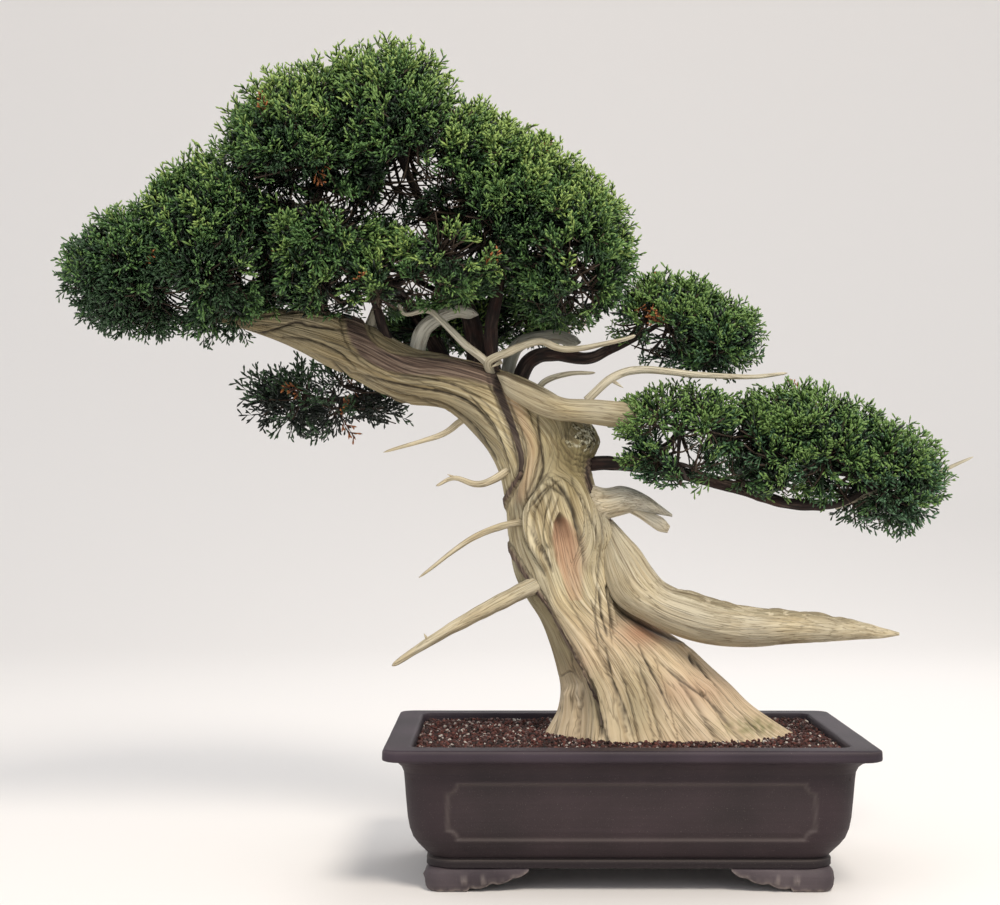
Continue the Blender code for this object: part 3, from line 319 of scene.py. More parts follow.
# Foliage: each mass has its lobes (middle, half sizes), whether it is dense, and the live bough that
# carries it: its radius at root and tip, and its line up to the mass. The last lobes of some are low
# ones, whose sprays hang between their neighbours and before the limbs
MASSES = {
    "left": (True, (
        ((-0.455, 0.000, 0.697), (0.100, 0.138, 0.112)),
        ((-0.552, -0.002, 0.665), (0.086, 0.110, 0.075)),
        ((-0.392, 0.000, 0.752), (0.070, 0.118, 0.062)),
    ), (0.01, 0.006, ((-0.318, 0.010, 0.596), (-0.344, 0.010, 0.634)))),
    "top": (True, (
        ((-0.262, 0.000, 0.822), (0.098, 0.160, 0.108)),
        ((-0.358, 0.000, 0.797), (0.098, 0.155, 0.106)),
    ), (0.012, 0.007, ((-0.163, 0.016, 0.540), (-0.172, 0.036, 0.620), (-0.212, 0.034, 0.716)))),
    "right": (True, (
        ((-0.135, 0.000, 0.748), (0.098, 0.150, 0.088)),
        ((-0.070, 0.000, 0.702), (0.088, 0.128, 0.080)),
        ((-0.060, -0.010, 0.656), (0.070, 0.105, 0.050)),
        ((-0.186, 0.000, 0.802), (0.062, 0.125, 0.062)),
        ((-0.205, 0.010, 0.735), (0.050, 0.100, 0.045)),
    ), (0.009, 0.006, ((-0.142, -0.006, 0.535), (-0.148, -0.002, 0.600), (-0.138, 0.004, 0.660)))),
    "middle": (True, (
        ((-0.330, -0.010, 0.694), (0.088, 0.140, 0.066)),
        ((-0.190, -0.045, 0.678), (0.072, 0.105, 0.056)),
        ((-0.256, -0.045, 0.655), (0.060, 0.080, 0.042)),
        ((-0.330, -0.030, 0.645), (0.070, 0.085, 0.032)),
    ), (0.008, 0.005, ((-0.262, -0.004, 0.580), (-0.276, -0.010, 0.628)))),
    "back": (True, (
        ((-0.345, 0.130, 0.728), (0.100, 0.078, 0.090)),
        ((-0.140, 0.130, 0.712), (0.100, 0.078, 0.088)),
        ((-0.150, 0.110, 0.624), (0.120, 0.045, 0.040)),
        ((-0.222, 0.088, 0.612), (0.064, 0.046, 0.034)),
    ), (0.01, 0.006, ((-0.186, 0.018, 0.540), (-0.224, 0.066, 0.610), (-0.262, 0.100, 0.664)))),
    "middle_right": (True, (
        ((0.052, 0.020, 0.618), (0.070, 0.092, 0.058)),
        ((0.110, 0.020, 0.597), (0.060, 0.080, 0.047)),
    ), (0.0095, 0.006, (
        (-0.122, 0.012, 0.530), (-0.104, 0.020, 0.570), (-0.075, 0.024, 0.579),
        (-0.040, 0.026, 0.574), (-0.012, 0.024, 0.584)))),
    "lower_right_inner": (True, (
        ((0.064, -0.020, 0.494), (0.088, 0.085, 0.050)),
        ((0.058, -0.050, 0.452), (0.066, 0.036, 0.030)),
    ), (0.005, 0.0035, ((0.030, -0.006, 0.446), (0.046, -0.010, 0.464)))),
    "lower_right": (True, (
        ((0.290, 0.000, 0.437), (0.080, 0.094, 0.070)),
        ((0.203, 0.000, 0.483), (0.086, 0.098, 0.064)),
        ((0.165, -0.040, 0.444), (0.070, 0.045, 0.032)),
        ((0.135, 0.000, 0.490), (0.040, 0.070, 0.042)),
    ), (0.0085, 0.0055, (
        (-0.050, 0.000, 0.452), (-0.010, -0.002, 0.454), (0.048, -0.004, 0.447),
        (0.122, -0.002, 0.428), (0.180, 0.000, 0.410), (0.228, 0.000, 0.406)))),
    "lower_left": (False, (
        ((-0.342, 0.080, 0.530), (0.114, 0.068, 0.044)),
    ), (0.006, 0.004, ((-0.232, 0.020, 0.550), (-0.252, 0.048, 0.541), (-0.270, 0.060, 0.538)))),
}


# How the masses grow. A tuft is a twig's end with its sprays
TUFTS_PER_SQUARE_METRE = 1150
TUFTS_A_SPARSE_LOBE = 66
TUFTS_A_BRANCHLET = 8
SPRAYS_A_TUFT = 7
SPRAYS_A_SPARSE_TUFT = 5
INNER_SPRAYS_A_TUFT = 3
# Between which shares of a twig's length its sprays stand, and how near to the outline their tips may be
SPRAYS_STAND, INNER_SPRAYS_STAND = (0.22, 0.99), (0.05, 0.60)
SPRAY_REACH, SPARSE_SPRAY_REACH, INNER_SPRAY_REACH = 1.07, 1.25, 0.90
SPRAY_LENGTH = 0.0330  # with its stalk: the real ones are 15 to 25 mm long
SPRAY_SHAPES = 6
KNEE = 0.55  # where its stalk bends, as a share of its length
SIDE_FINGERS = (0.17, 0.34, 0.50, 0.66, 0.82)  # where they leave the stalk
FORKED_FINGERS = 3
FINGER_RADIUS = 0.0014
THICKEST = 0.80  # where a finger is thickest, as a share of its length
TUFT_NEARNESS = 0.80  # how near to the outline tufts end
LEAST_NEARNESS = 0.50  # tufts deeper in than this don't show
LIFT = 0.34  # how far sprays turn up towards the light
SPACE_MARGIN = 0.01  # between neighbouring masses, as a share of a lobe's half size
CROWN_BLEND = 7.0  # the lower, the fuller the crown is where lobes meet
LIMB_MARGIN = 0.0015
# Places where narrow gaps show the sky from the front: the middle at the pot's middle depth, the half
# sizes, and how many gaps
SKY_SPECKS = (
    ((-0.250, 0.768), (0.022, 0.034), 13), ((-0.330, 0.745), (0.060, 0.050), 12),
    ((-0.190, 0.735), (0.040, 0.060), 9), ((-0.070, 0.668), (0.060, 0.045), 12),
    ((-0.230, 0.680), (0.060, 0.045), 12), ((-0.290, 0.650), (0.060, 0.020), 10),
    ((-0.480, 0.640), (0.080, 0.035), 7),
    ((0.070, 0.480), (0.070, 0.025), 14), ((0.060, 0.590), (0.070, 0.020), 8),
    ((0.230, 0.440), (0.060, 0.035), 6),
)
SPECK_RADIUS = (0.0020, 0.0048)
SPECK_ROOM = 0.0053  # that sprays' middle lines keep from a gap
SIGHT_SHIFT = (-0.057, 0.162)  # how far the line of sight shifts for each metre of depth
# A sprig that has died orange, seen from the front: its middle (x, z) and radius
DEAD_SPRIG = (0.022, 0.622, 0.011)
# Colours of scale leaves, dealt out by spray: the stalk's and the tips'. Which pair a spray gets is painted
# light and shade, by how lit it stands
LEAF_COLOURS = {
    "sunlit_young": ("4c6a34", "8fa858"),
    "sunny": ("3f5f30", "708f4a"),
    "green": ("2f5029", "55783f"),
    "blue": ("2b4c35", "4f7250"),
    "shade": ("1d371e", "355131"),
    "deep": ("0b150d", "142215"),
    "dead": ("6a3b24", "a8683a"),
}
# From how much light on sprays of other masses (False) and of bluish ones (True) get which colour, and
# which share of the sprays of sparse masses (False) and of dense ones (True) has died
BLUISH_MASSES = ("lower_right", "lower_right_inner", "lower_left", "middle_right")
LIT_KINDS = {False: ((-0.10, "green"), (0.38, "sunny"), (0.80, "sunlit_young")),
             True: ((-0.10, "blue"), (0.25, "green"), (0.58, "sunny"))}
DEAD_SHARE = {False: 0.02, True: 0.004}

# Shader nodes used more than once, the settings of a colour mix and the number of its output
NOISE, RAMP, MIX = "ShaderNodeTexNoise", "ShaderNodeValToRGB", "ShaderNodeMix"
ATTRIBUTE, SEPARATE = "ShaderNodeAttribute", "ShaderNodeSeparateXYZ"
COLOUR, MIXED = {"data_type": "RGBA"}, 2


def linear(hex_colour):
    """A linear colour with alpha from an sRGB hex value such as 8a7f70."""
    parts = [int(hex_colour[i:i + 2], 16) / 255 for i in (0, 2, 4)]
    return (*(p / 12.92 if p <= 0.04045 else ((p + 0.055) / 1.055) ** 2.4 for p in parts), 1.0)


def add(tree, kind, settings=None, output=0, stops=(), **inputs):
    """Adds a shader node and returns one of its outputs. An input is named with _ for a space, or i and
    its number, and is a value, an sRGB hex colour or another node's output. The stops of a colour ramp
    are its first, its last and those between, each with its place and a hex colour or a grey."""
    made = tree.nodes.new(kind)
    for name, value in (settings or {}).items():
        setattr(made, name, value)
    for order, (place, colour) in enumerate(stops):
        elements = made.color_ramp.elements
        element = elements[order] if order < 2 else elements.new(place)
        element.position = place
        element.color = linear(colour) if isinstance(colour, str) else (colour, colour, colour, 1.0)
    for name, value in inputs.items():
        socket = made.inputs[int(name[1:]) if name[1:].isdigit() else name.replace("_", " ")]
        if isinstance(value, bpy.types.NodeSocket):
            tree.links.new(value, socket)
        else:
            socket.default_value = linear(value) if isinstance(value, str) else value
    return made.outputs[output]


def new_material(name, roughness, ior=1.5):
    made = bpy.data.materials.new(name)
    made.use_nodes = True
    shader = made.node_tree.nodes["Principled BSDF"]
    shader.inputs["Roughness"].default_value = roughness
    shader.inputs["IOR"].default_value = ior
    return made, made.node_tree, shader


def coated(tree, base, *coats):
    """A colour with coats laid over it. Each has what shows where it lies, the stops that this is read
    by, and its colour or the two colours that a pattern turns between, with the pattern first."""
    for share, stops, *colours in coats:
        if stops:
            share = add(tree, RAMP, stops=stops, Fac=share)
        if len(colours) == 3:
            colours = [add(tree, MIX, COLOUR, MIXED, i0=colours[0], i6=colours[1], i7=colours[2])]
        base = add(tree, MIX, COLOUR, MIXED, i0=share, i6=base, i7=colours[0])
    return base


def dressed(tree, shader, base, *reliefs):
    """Gives a shader its colour and relief: the height, distance and strength of each, lowest first."""
    tree.links.new(base, shader.inputs["Base Color"])
    under = {}
    for height, distance, strength in reliefs:
        normal = add(tree, "ShaderNodeBump", Height=height, Distance=distance, Strength=strength, **under)
        under = {"Normal": normal}
    tree.links.new(normal, shader.inputs["Normal"])


def along_grain(tree, *patterns):
    """Noise drawn out along the grain: how wide and long its unit is, its detail and its roughness."""
    grain = add(tree, ATTRIBUTE, {"attribute_name": "grain"}, "Vector")
    made = []
    for wide, long, detail, roughness in patterns:
        drawn = add(tree, "ShaderNodeMapping", Vector=grain, Scale=(1 / wide, 1 / wide, 1 / long))
        made.append(add(tree, NOISE, Vector=drawn, Scale=1.0, Detail=detail, Roughness=roughness))
    return made


def bleached_wood():
    """Juniper heartwood stripped of bark and sunned for years: chalky tan with fibres and hair cracks
    that run along the limb, and painted cavity shade in its creases and cracks. It also carries the
    live bark veins, rosy fresh wood, algae, painted shade in grooves and on shaded parts, and greyed
    parts, by the attributes of the mesh."""
    made, tree, shader = new_material("bleached_juniper_wood", 0.80)
    live, rosy, green, shaded_crease, crumbled, cavity_shade, shade, grey, fresh = (
        output for name in ("tint", "mark", "tone") for output in add(
            tree, SEPARATE, Vector=add(tree, ATTRIBUTE, {"attribute_name": name}, "Vector")).node.outputs)
    where = add(tree, "ShaderNodeTexCoord", None, "Object")
    # Strands 7 mm wide, fibres 2 mm wide, hair cracks half a millimetre wide and 90 mm long where the
    # noise crosses its middle, and flakes of bark 3 mm wide
    strand, fibre, hair, flake = along_grain(
        tree, (0.0070, 0.130, 3.0, 0.5), (0.0020, 0.075, 4.0, 0.6), (0.0036, 0.090, 2.0, 0.5),
        (0.0032, 0.040, 4.0, 0.5))
    hair = add(tree, "ShaderNodeMath", {"operation": "SUBTRACT"}, i0=hair, i1=0.5)
    hair = add(tree, "ShaderNodeMath", {"operation": "ABSOLUTE"}, i0=hair)
    patch = add(tree, NOISE, Vector=where, Scale=16.0, Detail=3.0)
    # The burl is crumbled, pale green and black
    crackle = add(tree, NOISE, Vector=where, Scale=240.0, Detail=4.0, Roughness=0.65)
    burl = add(tree, RAMP, stops=((0.41, "15120b"), (0.60, "dcdac4"), (0.49, "857e5c")), Fac=crackle)
    # Live bark is fibrous, brown with a purple bloom
    bark = add(tree, RAMP, stops=((0.34, "2f231d"), (0.68, "8f7d6c"), (0.50, "614e41")), Fac=flake)
    # Painted shade darkens the bark in its grooves
    bark = coated(tree, bark, (shaded_crease, (), "1f1512"))
    base = add(tree, RAMP, stops=((0.32, "a4936b"), (0.70, "d7cba9"), (0.50, "c3b48c")), Fac=strand)
    base = coated(
        tree, base,
        (patch, ((0.44, 0), (0.66, 0.7)), "b4ad92"),
        (fibre, ((0.30, 0.8), (0.47, 0)), "8d7a55"),
        (fibre, ((0.56, 0), (0.74, 0.8)), "e4dcc3"),
        (fresh, (), fibre, "bc9c72", "f2e0c4"),
        (rosy, (), fibre, "8d5f45", "cfa483"),
        (green, (), fibre, "55502e", "a09b68"),
        (grey, (), fibre, "85847a", "dad9cd"),
        # Painted shade, towards dark olive brown
        (shade, (), fibre, "3a2f1d", "8d7a50"),
        (crumbled, (), burl),
        (hair, ((0.0, 0.55), (0.028, 0)), "5e4c30"),
        # painted cavity shade in creases and cracks
        (cavity_shade, (), "5f4c30"),
        # painted shade in creases, grooves and pits, and under the elbow
        (shaded_crease, (), "291d12"),
        (live, (), bark))
    groove = add(tree, RAMP, stops=((0.0, 0), (0.06, 1)), Fac=hair)
    dressed(tree, shader, base, (strand, 0.0012, 1.0), (fibre, 0.0010, 1.0), (groove, 0.0005, 1.0))
    return made


def juniper_bark():
    """Living juniper bark: thin fibrous strips, red brown where they peel and grey where they weather."""
    made, tree, shader = new_material("peeling_juniper_bark", 0.88)
    # Strips 3 mm wide and 30 mm long
    flake, patch = along_grain(tree, (0.0030, 0.030, 5.0, 0.6), (0.012, 0.020, 2.0, 0.5))
    bark = add(tree, RAMP, stops=((0.34, "110c0a"), (0.72, "5d4d44"), (0.52, "291d19")), Fac=flake)
    bark = coated(tree, bark, (patch, ((0.48, 0), (0.68, 0.6)), "3a2019"))
    dressed(tree, shader, bark, (flake, 0.0022, 1.0))
    return made


def fired_clay():
    """Unglazed dark stoneware, pressed in a mould and wiped before firing: matt brown grey, a purple
    bloom on the lip, fine grit and faint level wipe marks, pale rubbed edges on the feet, painted
    shade on the plinth, and painted highlights on the panel's outline, the ledge and the bosses."""
    made, tree, shader = new_material("unglazed_stoneware", 0.62, 1.38)
    where = add(tree, "ShaderNodeTexCoord", None, "Object")
    height = add(tree, SEPARATE, None, "Z", Vector=where)
    pale_wear_and_highlight = add(tree, SEPARATE, Vector=add(tree, ATTRIBUTE, {"attribute_name": "wear_and_highlight"}, "Vector"))
    # Grit of 1 mm, and wipe marks 4 mm apart
    grit = add(tree, NOISE, Vector=where, Scale=900.0, Detail=2.0)
    level = add(tree, "ShaderNodeMapping", Vector=where, Scale=(6.0, 6.0, 250.0))
    wipe = add(tree, NOISE, Vector=level, Scale=1.0, Detail=3.0)
    cloud = add(tree, NOISE, Vector=where, Scale=9.0, Detail=4.0)
    base = add(tree, RAMP, stops=((0.34, "231a1d"), (0.68, "35282c")), Fac=cloud)
    lip = add(tree, RAMP, stops=((0.35, "2a2129"), (0.65, "3b3039")), Fac=cloud)
    foot = add(tree, RAMP, stops=((0.35, "40373b"), (0.65, "5c5255")), Fac=cloud)
    # The heights between which the lip, the plinth's painted shade and the feet take over
    lip_share, plinth_shade_share, foot_share = (
        add(tree, "ShaderNodeMapRange", Value=height, From_Min=none, From_Max=full)
        for none, full in ((0.136, 0.148), (0.040, 0.036), (0.0262, 0.0252)))
    base = coated(
        tree, base,
        (lip_share, (), lip),
        # Painted shade on the plinth
        (plinth_shade_share, (), "1e1518"),
        (foot_share, (), foot),
        (wipe, ((0.42, 0.14), (0.60, 0)), "1f1716"),
        (grit, ((0.66, 0), (0.74, 0.30)), "80736f"),
        # Pale rubbing, and painted highlights on the panel's outline, the ledge and the bosses
        (pale_wear_and_highlight, (), "9d9189"))
    dressed(tree, shader, base, (wipe, 0.0003, 1.0), (grit, 0.0003, 0.6))
    return made


def mineral(name, low, high):
    """Sieved mineral soil: matt, with each grain mottled."""
    made, tree, shader = new_material(name, 0.92)
    where = add(tree, "ShaderNodeTexCoord", None, "Object")
    mottle = add(tree, NOISE, Vector=where, Scale=420.0, Detail=3.0)
    base = add(tree, RAMP, stops=((0.35, low), (0.68, high)), Fac=mottle)
    dressed(tree, shader, base, (mottle, 0.0006, 1.0))
    return made


def plain(name, hex_colour, roughness):
    """A plain base colour, as the sprays and twigs are dealt out."""
    made, _, shader = new_material(name, roughness)
    shader.inputs["Base Color"].default_value = linear(hex_colour)
    return made


def finish_piece(name, mesh, materials, slot, *nodes):
    """Puts a finished mesh where the pot stands, as a piece that rides on the body and replaces nodes."""
    mesh.transform(Matrix.Translation(POT_MIDDLE))
    mesh.update()
    for material in materials:
        mesh.materials.append(material)
    piece = bpy.data.objects.new(name, mesh)
    bpy.context.scene.collection.objects.link(piece)
    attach(piece, "root")
    if nodes:
        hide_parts(*nodes)


def mesh_from(bm, name):
    bmesh.ops.recalc_face_normals(bm, faces=bm.faces)
    mesh = bpy.data.meshes.new(name)
    bm.to_mesh(mesh)
    bm.free()
    mesh.shade_smooth()
    return mesh


def wrapped(name, columns, rows, place):
    """A grid bent into a shape by place(u, v), which gives points and a dict of vector attributes for
    arrays of u and v from 0 to 1. u closes on itself, and both ends of v are capped."""
    bm = bmesh.new()
    bmesh.ops.create_grid(bm, x_segments=columns, y_segments=rows, size=0.5)
    mesh = bpy.data.meshes.new(name)
    bm.to_mesh(mesh)
    flat = np.empty(len(mesh.vertices) * 3)
    mesh.vertices.foreach_get("co", flat)
    flat = flat.reshape(-1, 3)
    points, attributes = place(flat[:, 0] + 0.5, flat[:, 1] + 0.5)
    mesh.vertices.foreach_set("co", points.ravel())
    for key, values in attributes.items():
        mesh.attributes.new(key, "FLOAT_VECTOR", "POINT").data.foreach_set("vector", values.ravel())
    bm.clear()
    bm.from_mesh(mesh)
    bpy.data.meshes.remove(mesh)
    bmesh.ops.remove_doubles(bm, verts=bm.verts, dist=1e-6)
    bmesh.ops.holes_fill(bm, edges=bm.edges, sides=0)
    return mesh_from(bm, name)


def stacked(*columns):
    """Rows made of these columns, each an array or one number for all rows."""
    return np.stack(np.broadcast_arrays(*columns), axis=1)


def lengths(vectors):
    """The length of each of many vectors."""
    return np.linalg.norm(vectors, axis=-1)


def run_along(points):
    """How far along the line through points each of them is."""
    return np.concatenate([[0], np.cumsum(lengths(np.diff(points, axis=0)))])


def rough(points):
    """Smooth noise from -1 to 1 at each point."""
    return np.array([noise.noise(point) for point in points])


def smooth_rows(rows, count):
    """Rows of numbers read along a Catmull-Rom curve, at this many even steps of the first three."""
    rows = np.array(rows, float)
    ends = np.vstack([2 * rows[0] - rows[1], rows, 2 * rows[-1] - rows[-2]])
    t = np.linspace(0, 1, 24, endpoint=False)[:, None]
    fine = []
    for before, here, there, after in zip(ends, ends[1:], ends[2:], ends[3:]):
        bend = 2 * before - 5 * here + 4 * there - after
        twist = 3 * here - before - 3 * there + after
        fine.append(here + 0.5 * ((there - before) * t + bend * t ** 2 + twist * t ** 3))
    fine = np.vstack([*fine, rows[-1:]])
    length = run_along(fine[:, :3])
    wanted = np.linspace(0, length[-1], count)
    made = np.stack([np.interp(wanted, length, fine[:, i]) for i in range(fine.shape[1])], axis=1)
    return made, wanted


def seen_at(across, down, depth):
    """The point at this depth behind the pot's middle that shows at this place of the frame."""
    scale = (CAMERA_AWAY + depth) / FOCAL_PIXELS
    return (CAMERA_ASIDE + (across - AHEAD_COLUMN) * scale, depth, CAMERA_HEIGHT + (LEVEL_ROW - down) * scale)


def shown_at(points):
    """Where points show in the frame: columns and rows."""
    scale = (CAMERA_AWAY + points[:, 1]) / FOCAL_PIXELS
    return (AHEAD_COLUMN + (points[:, 0] - CAMERA_ASIDE) / scale,
            LEVEL_ROW - (points[:, 2] - CAMERA_HEIGHT) / scale)


def beside(line, across, down):
    """How far places of the frame are from a smooth line through places, and how far along it, from 0
    to 1, its nearest point is."""
    fine = smooth_rows([(x, 0, y) for x, y in line], 4 * len(line))[0]
    near, share = np.full(len(across), 1e9), np.zeros(len(across))
    for index, ((x0, _, y0), (x1, _, y1)) in enumerate(zip(fine, fine[1:])):
        dx, dy = x1 - x0, y1 - y0
        part = np.clip(((across - x0) * dx + (down - y0) * dy) / (dx * dx + dy * dy), 0, 1)
        away = np.hypot(across - x0 - dx * part, down - y0 - dy * part)
        share = np.where(away < near, (index + part) / (len(fine) - 1), share)
        near = np.minimum(near, away)
    return near, share


def step_between(values, low, high):
    """0 at low, 1 at high, and smooth between."""
    t = np.clip((values - low) / (high - low), 0, 1)
    return t * t * (3 - 2 * t)


def span(values, low, full, until, end):
    """0 at low, 1 from full until the next value, and 0 again at the end."""
    return step_between(values, low, full) * step_between(-values, -end, -until)


def bell(values, middle, width):
    """1 at the middle, falling to 0 over about this width."""
    return np.exp(-((values - middle) / width) ** 2)


def fibres(grain):
    """Relief of stripped wood along the grain, about -1 to 1, and how much painted cavity shade darkens its
    creases and cracks, 0 to 1.
    """
    broad = rough(grain * (60, 60, 4.5))
    narrow = rough(grain * (170, 170, 7.0) + 7.0)
    fine = rough(grain * (380, 380, 13.0) + 17.0)
    shaded_crease = 1 - np.clip(np.abs(rough(grain * (78, 78, 3.0) + 31.0)) / 0.085, 0, 1)
    shaded_crease *= step_between(rough(grain * (30, 30, 6.0) + 11.0), -0.25, 0.15)
    crack = 1 - np.clip(np.abs(rough(grain * (190, 190, 6.0) + 57.0)) / 0.10, 0, 1)
    crack *= step_between(rough(grain * (45, 45, 9.0) + 23.0), -0.05, 0.25)
    rise = 0.75 * broad + 0.34 * narrow + 0.16 * fine - 1.0 * shaded_crease ** 1.5 - 0.45 * crack ** 1.5
    # Painted cavity shade, deepest in the creases and cracks
    cavity_shade = 0.60 * shaded_crease ** 2 + 0.40 * crack ** 2 - 0.16 * narrow - 0.20 * fine
    return rise, np.clip(cavity_shade, 0, 1)


class Marks:
    """What the front of the trunk shows at places of the frame: the rise in millimetres and the
    attributes of the wood."""

    def __init__(self, across, down, front, uneven):
        self.across, self.down, self.front, self.uneven = across, down, front, uneven
        (self.rise, self.live, self.rosy, self.green, self.shaded_crease, self.crumbled, self.shade, self.grey,
         self.fresh) = (np.zeros(len(across)) for _ in range(9))
        self.draw_rolls()
        self.draw_creases()
        self.draw_veins()
        self.draw_hollow()
        self.draw_burl()
        self.draw_colours()

    def blots(self, *blots):
        """The sum of soft blots: how strong each is, its place in the frame, and its size."""
        return sum(strength * np.exp(-((self.across - x) / wide) ** 2 - ((self.down - y) / tall) ** 2)
                   for strength, (x, y), (wide, tall) in blots)

    def draw_rolls(self):
        for start_width, end_width, lift, line in ROLLS:
            near, share = beside(line, self.across, self.down)
            width = start_width + (end_width - start_width) * share
            near = near / width + 0.14 * self.uneven
            shown = span(share, 0, 0.16, 0.86, 1) * self.front
            self.rise += 1.35 * lift * np.sqrt(np.clip(1 - near ** 2, 0, 1)) * shown
            # Painted shade in the grooves along each roll's edges
            edge = bell((near - 1.02) * width, 0, 0.8) * shown
            self.shaded_crease = np.maximum(self.shaded_crease, 0.62 * edge)

    def draw_creases(self):
        for width, deep, line in CREASES:
            near, share = beside(line, self.across, self.down)
            near = near + 0.7 * self.uneven
            ends = np.sqrt(np.clip(4 * share * (1 - share) + 0.25, 0, 1))
            cut = bell(near, 0, width) * ends * self.front
            self.rise -= deep * cut
            # Painted shade in each of the creases
            self.shaded_crease = np.maximum(self.shaded_crease, cut * min(1.0, deep / 2.3))

    def draw_veins(self):
        for start_width, end_width, lift, dark, line in VEINS:
            near, share = beside(line, self.across, self.down)
            width = start_width + (end_width - start_width) * share
            near = near + 0.9 * self.uneven
            inside = step_between(width * 1.15 - near, 0, width * 0.45) * self.front
            # Painted shade in the grooves beside each vein
            groove = bell(near, width * 1.35, 1.1) * self.front
            self.rise += lift * inside - 1.2 * groove
            self.live = np.maximum(self.live, inside)
            self.shaded_crease = np.maximum(self.shaded_crease * (1 - inside), np.maximum(dark * inside, 0.6 * groove))

    def draw_hollow(self):
        """The hollow is deepest under the arch, with a sharp left edge and a soft right one."""
        level = [entry[0] for entry in HOLLOW]
        centre = np.interp(self.down, level, [entry[1] for entry in HOLLOW])
        wide = np.interp(self.down, level, [entry[2] for entry in HOLLOW], left=0.01, right=0.01)
        share = (self.across - centre + wide) / (2 * wide)
        deep = np.interp(self.down, (511, 520, 545, 600), (0.2, 1.0, 0.85, 0.0), left=0, right=0)
        sides = span(share, -0.02, 0.16, 0.45, 1.06)
        self.rise -= HOLLOW_DEPTH * sides * deep * self.front
        self.shaded_crease *= 1 - 0.8 * sides * self.front * (deep > 0.3)
        soft = span(share, -0.04, 0.12, 0.75, 1.35)
        pale = np.interp(self.down, (512, 520, 580, 650), (0, 0.95, 0.6, 0), left=0, right=0)
        self.rosy = np.maximum(self.rosy, soft * pale * self.front)
        # Painted shadow along the hollow's top, under the arch
        top = np.interp(self.down, (511, 515, 527, 545), (0, 1, 0.55, 0), left=0, right=0)
        self.shaded_crease = np.maximum(self.shaded_crease, 0.8 * sides * top * self.front)

    def draw_burl(self):
        (burl_x, burl_y), radius, lift = BURL
        away = np.hypot(self.across - burl_x, (self.down - burl_y) * 0.9)
        knob = step_between(-away, -radius * 1.3, 0) * self.front
        self.rise += lift * knob + 1.6 * knob * self.uneven
        self.crumbled = step_between(-away - 11 * self.uneven, -radius * 0.95, -radius * 0.60) * self.front
        ring = np.sin(away * 1.3 + 2.4 * self.uneven) * step_between(self.down, 418, 436)
        swirl = bell(away, 25, 13) * self.front
        self.rise += 0.8 * swirl * ring
        # Painted shade in the troughs of the rings round the burl
        self.shaded_crease = np.maximum(self.shaded_crease, 0.55 * swirl * step_between(-ring, 0.45, 0.95))
        # Painted shade in the burl's pits
        pits = self.blots((1.0, (586, 420), (7, 5)), (1.0, (569, 438), (5, 8)))
        self.shaded_crease = np.maximum(self.shaded_crease, np.clip(pits * (0.4 + 1.6 * self.uneven), 0, 0.8) * self.front)
        torn = self.blots((1.0, (681, 643), (8, 5))) * self.front
        self.rise += torn * (2.2 + 5.0 * self.uneven)
        knot = self.blots((1.0, (352, 369), (5, 4))) * self.front
        self.rise += 2.4 * knot
        self.shade = np.maximum(self.shade, 0.6 * knot)

    def draw_colours(self):
        across, down, front = self.across, self.down, self.front
        # Painted shade under the elbow
        under_elbow = self.blots((0.75, (624, 612), (13, 9))) * front
        self.shaded_crease = np.maximum(self.shaded_crease, under_elbow)
        peach, _ = beside(((508, 392), (524, 424), (533, 448), (530, 474), (521, 497)), across, down)
        rosy = self.blots((0.95, (642, 632), (26, 16)), (0.4275, (690, 690), (40, 16)),
                          (0.35, (582, 664), (16, 12)))
        rosy = rosy + 0.42 * bell(peach, 0, 6.5)
        self.rosy = np.clip(np.maximum(self.rosy, rosy * front), 0, 0.95)
        vein = np.interp(down, *zip(*[(y, x) for x, y in VEINS[2][4][4:12]]))
        left_side = step_between(vein - across, -2, 5) * span(down, 552, 590, 650, 690)
        shaded = 0.46 * step_between(-across, -512, -478) * step_between(-down, -492, -462)
        waist = self.blots((0.62, (566, 455), (36, 40)))
        # Painted shade on the left face of the base, on the left limb under the crown, and at the waist
        for dark in (0.28 * left_side, shaded, waist):
            self.shade = np.maximum(self.shade, dark * front)
        # The crown's painted shade falls on the left limb's back as on its front
        self.shade = np.maximum(self.shade, shaded * (1 - front))
        green = self.blots((0.80, (580, 452), (30, 30)), (0.3, (636, 700), (22, 40)),
                           (0.3, (598, 700), (9, 30)))
        green += self.blots((0.8, (752, 726), (30, 9))) * (0.7 + self.uneven) + 0.35 * left_side
        self.green = np.clip(green * front, 0, 0.9)
        self.grey = self.blots((0.5, (600, 500), (12, 26))) * front
        scrubbed = 0.12 * step_between(down, 470, 520) + 0.55 * step_between(down, 570, 660)
        scrubbed += 0.2 * step_between(across, 640, 700) * step_between(down, 640, 680)
        self.fresh = scrubbed * (1 - np.maximum(self.shade, self.green)) * (0.75 + 0.25 * front)


def parted(across, down):
    """How far the grain is pushed aside, in pixels, where it parts round knots and the hollow."""
    push = np.zeros(len(across))
    for (x, y), (half_x, half_y) in PARTINGS:
        away = ((across - x) / half_x) ** 2 + ((down - y) / half_y) ** 2
        above = step_between((y - down) / half_y, -0.95, -0.10)
        push -= (across - x) * np.exp(-1.1 * np.maximum(away - 1, 0)) * (away > 1) * above
    return push


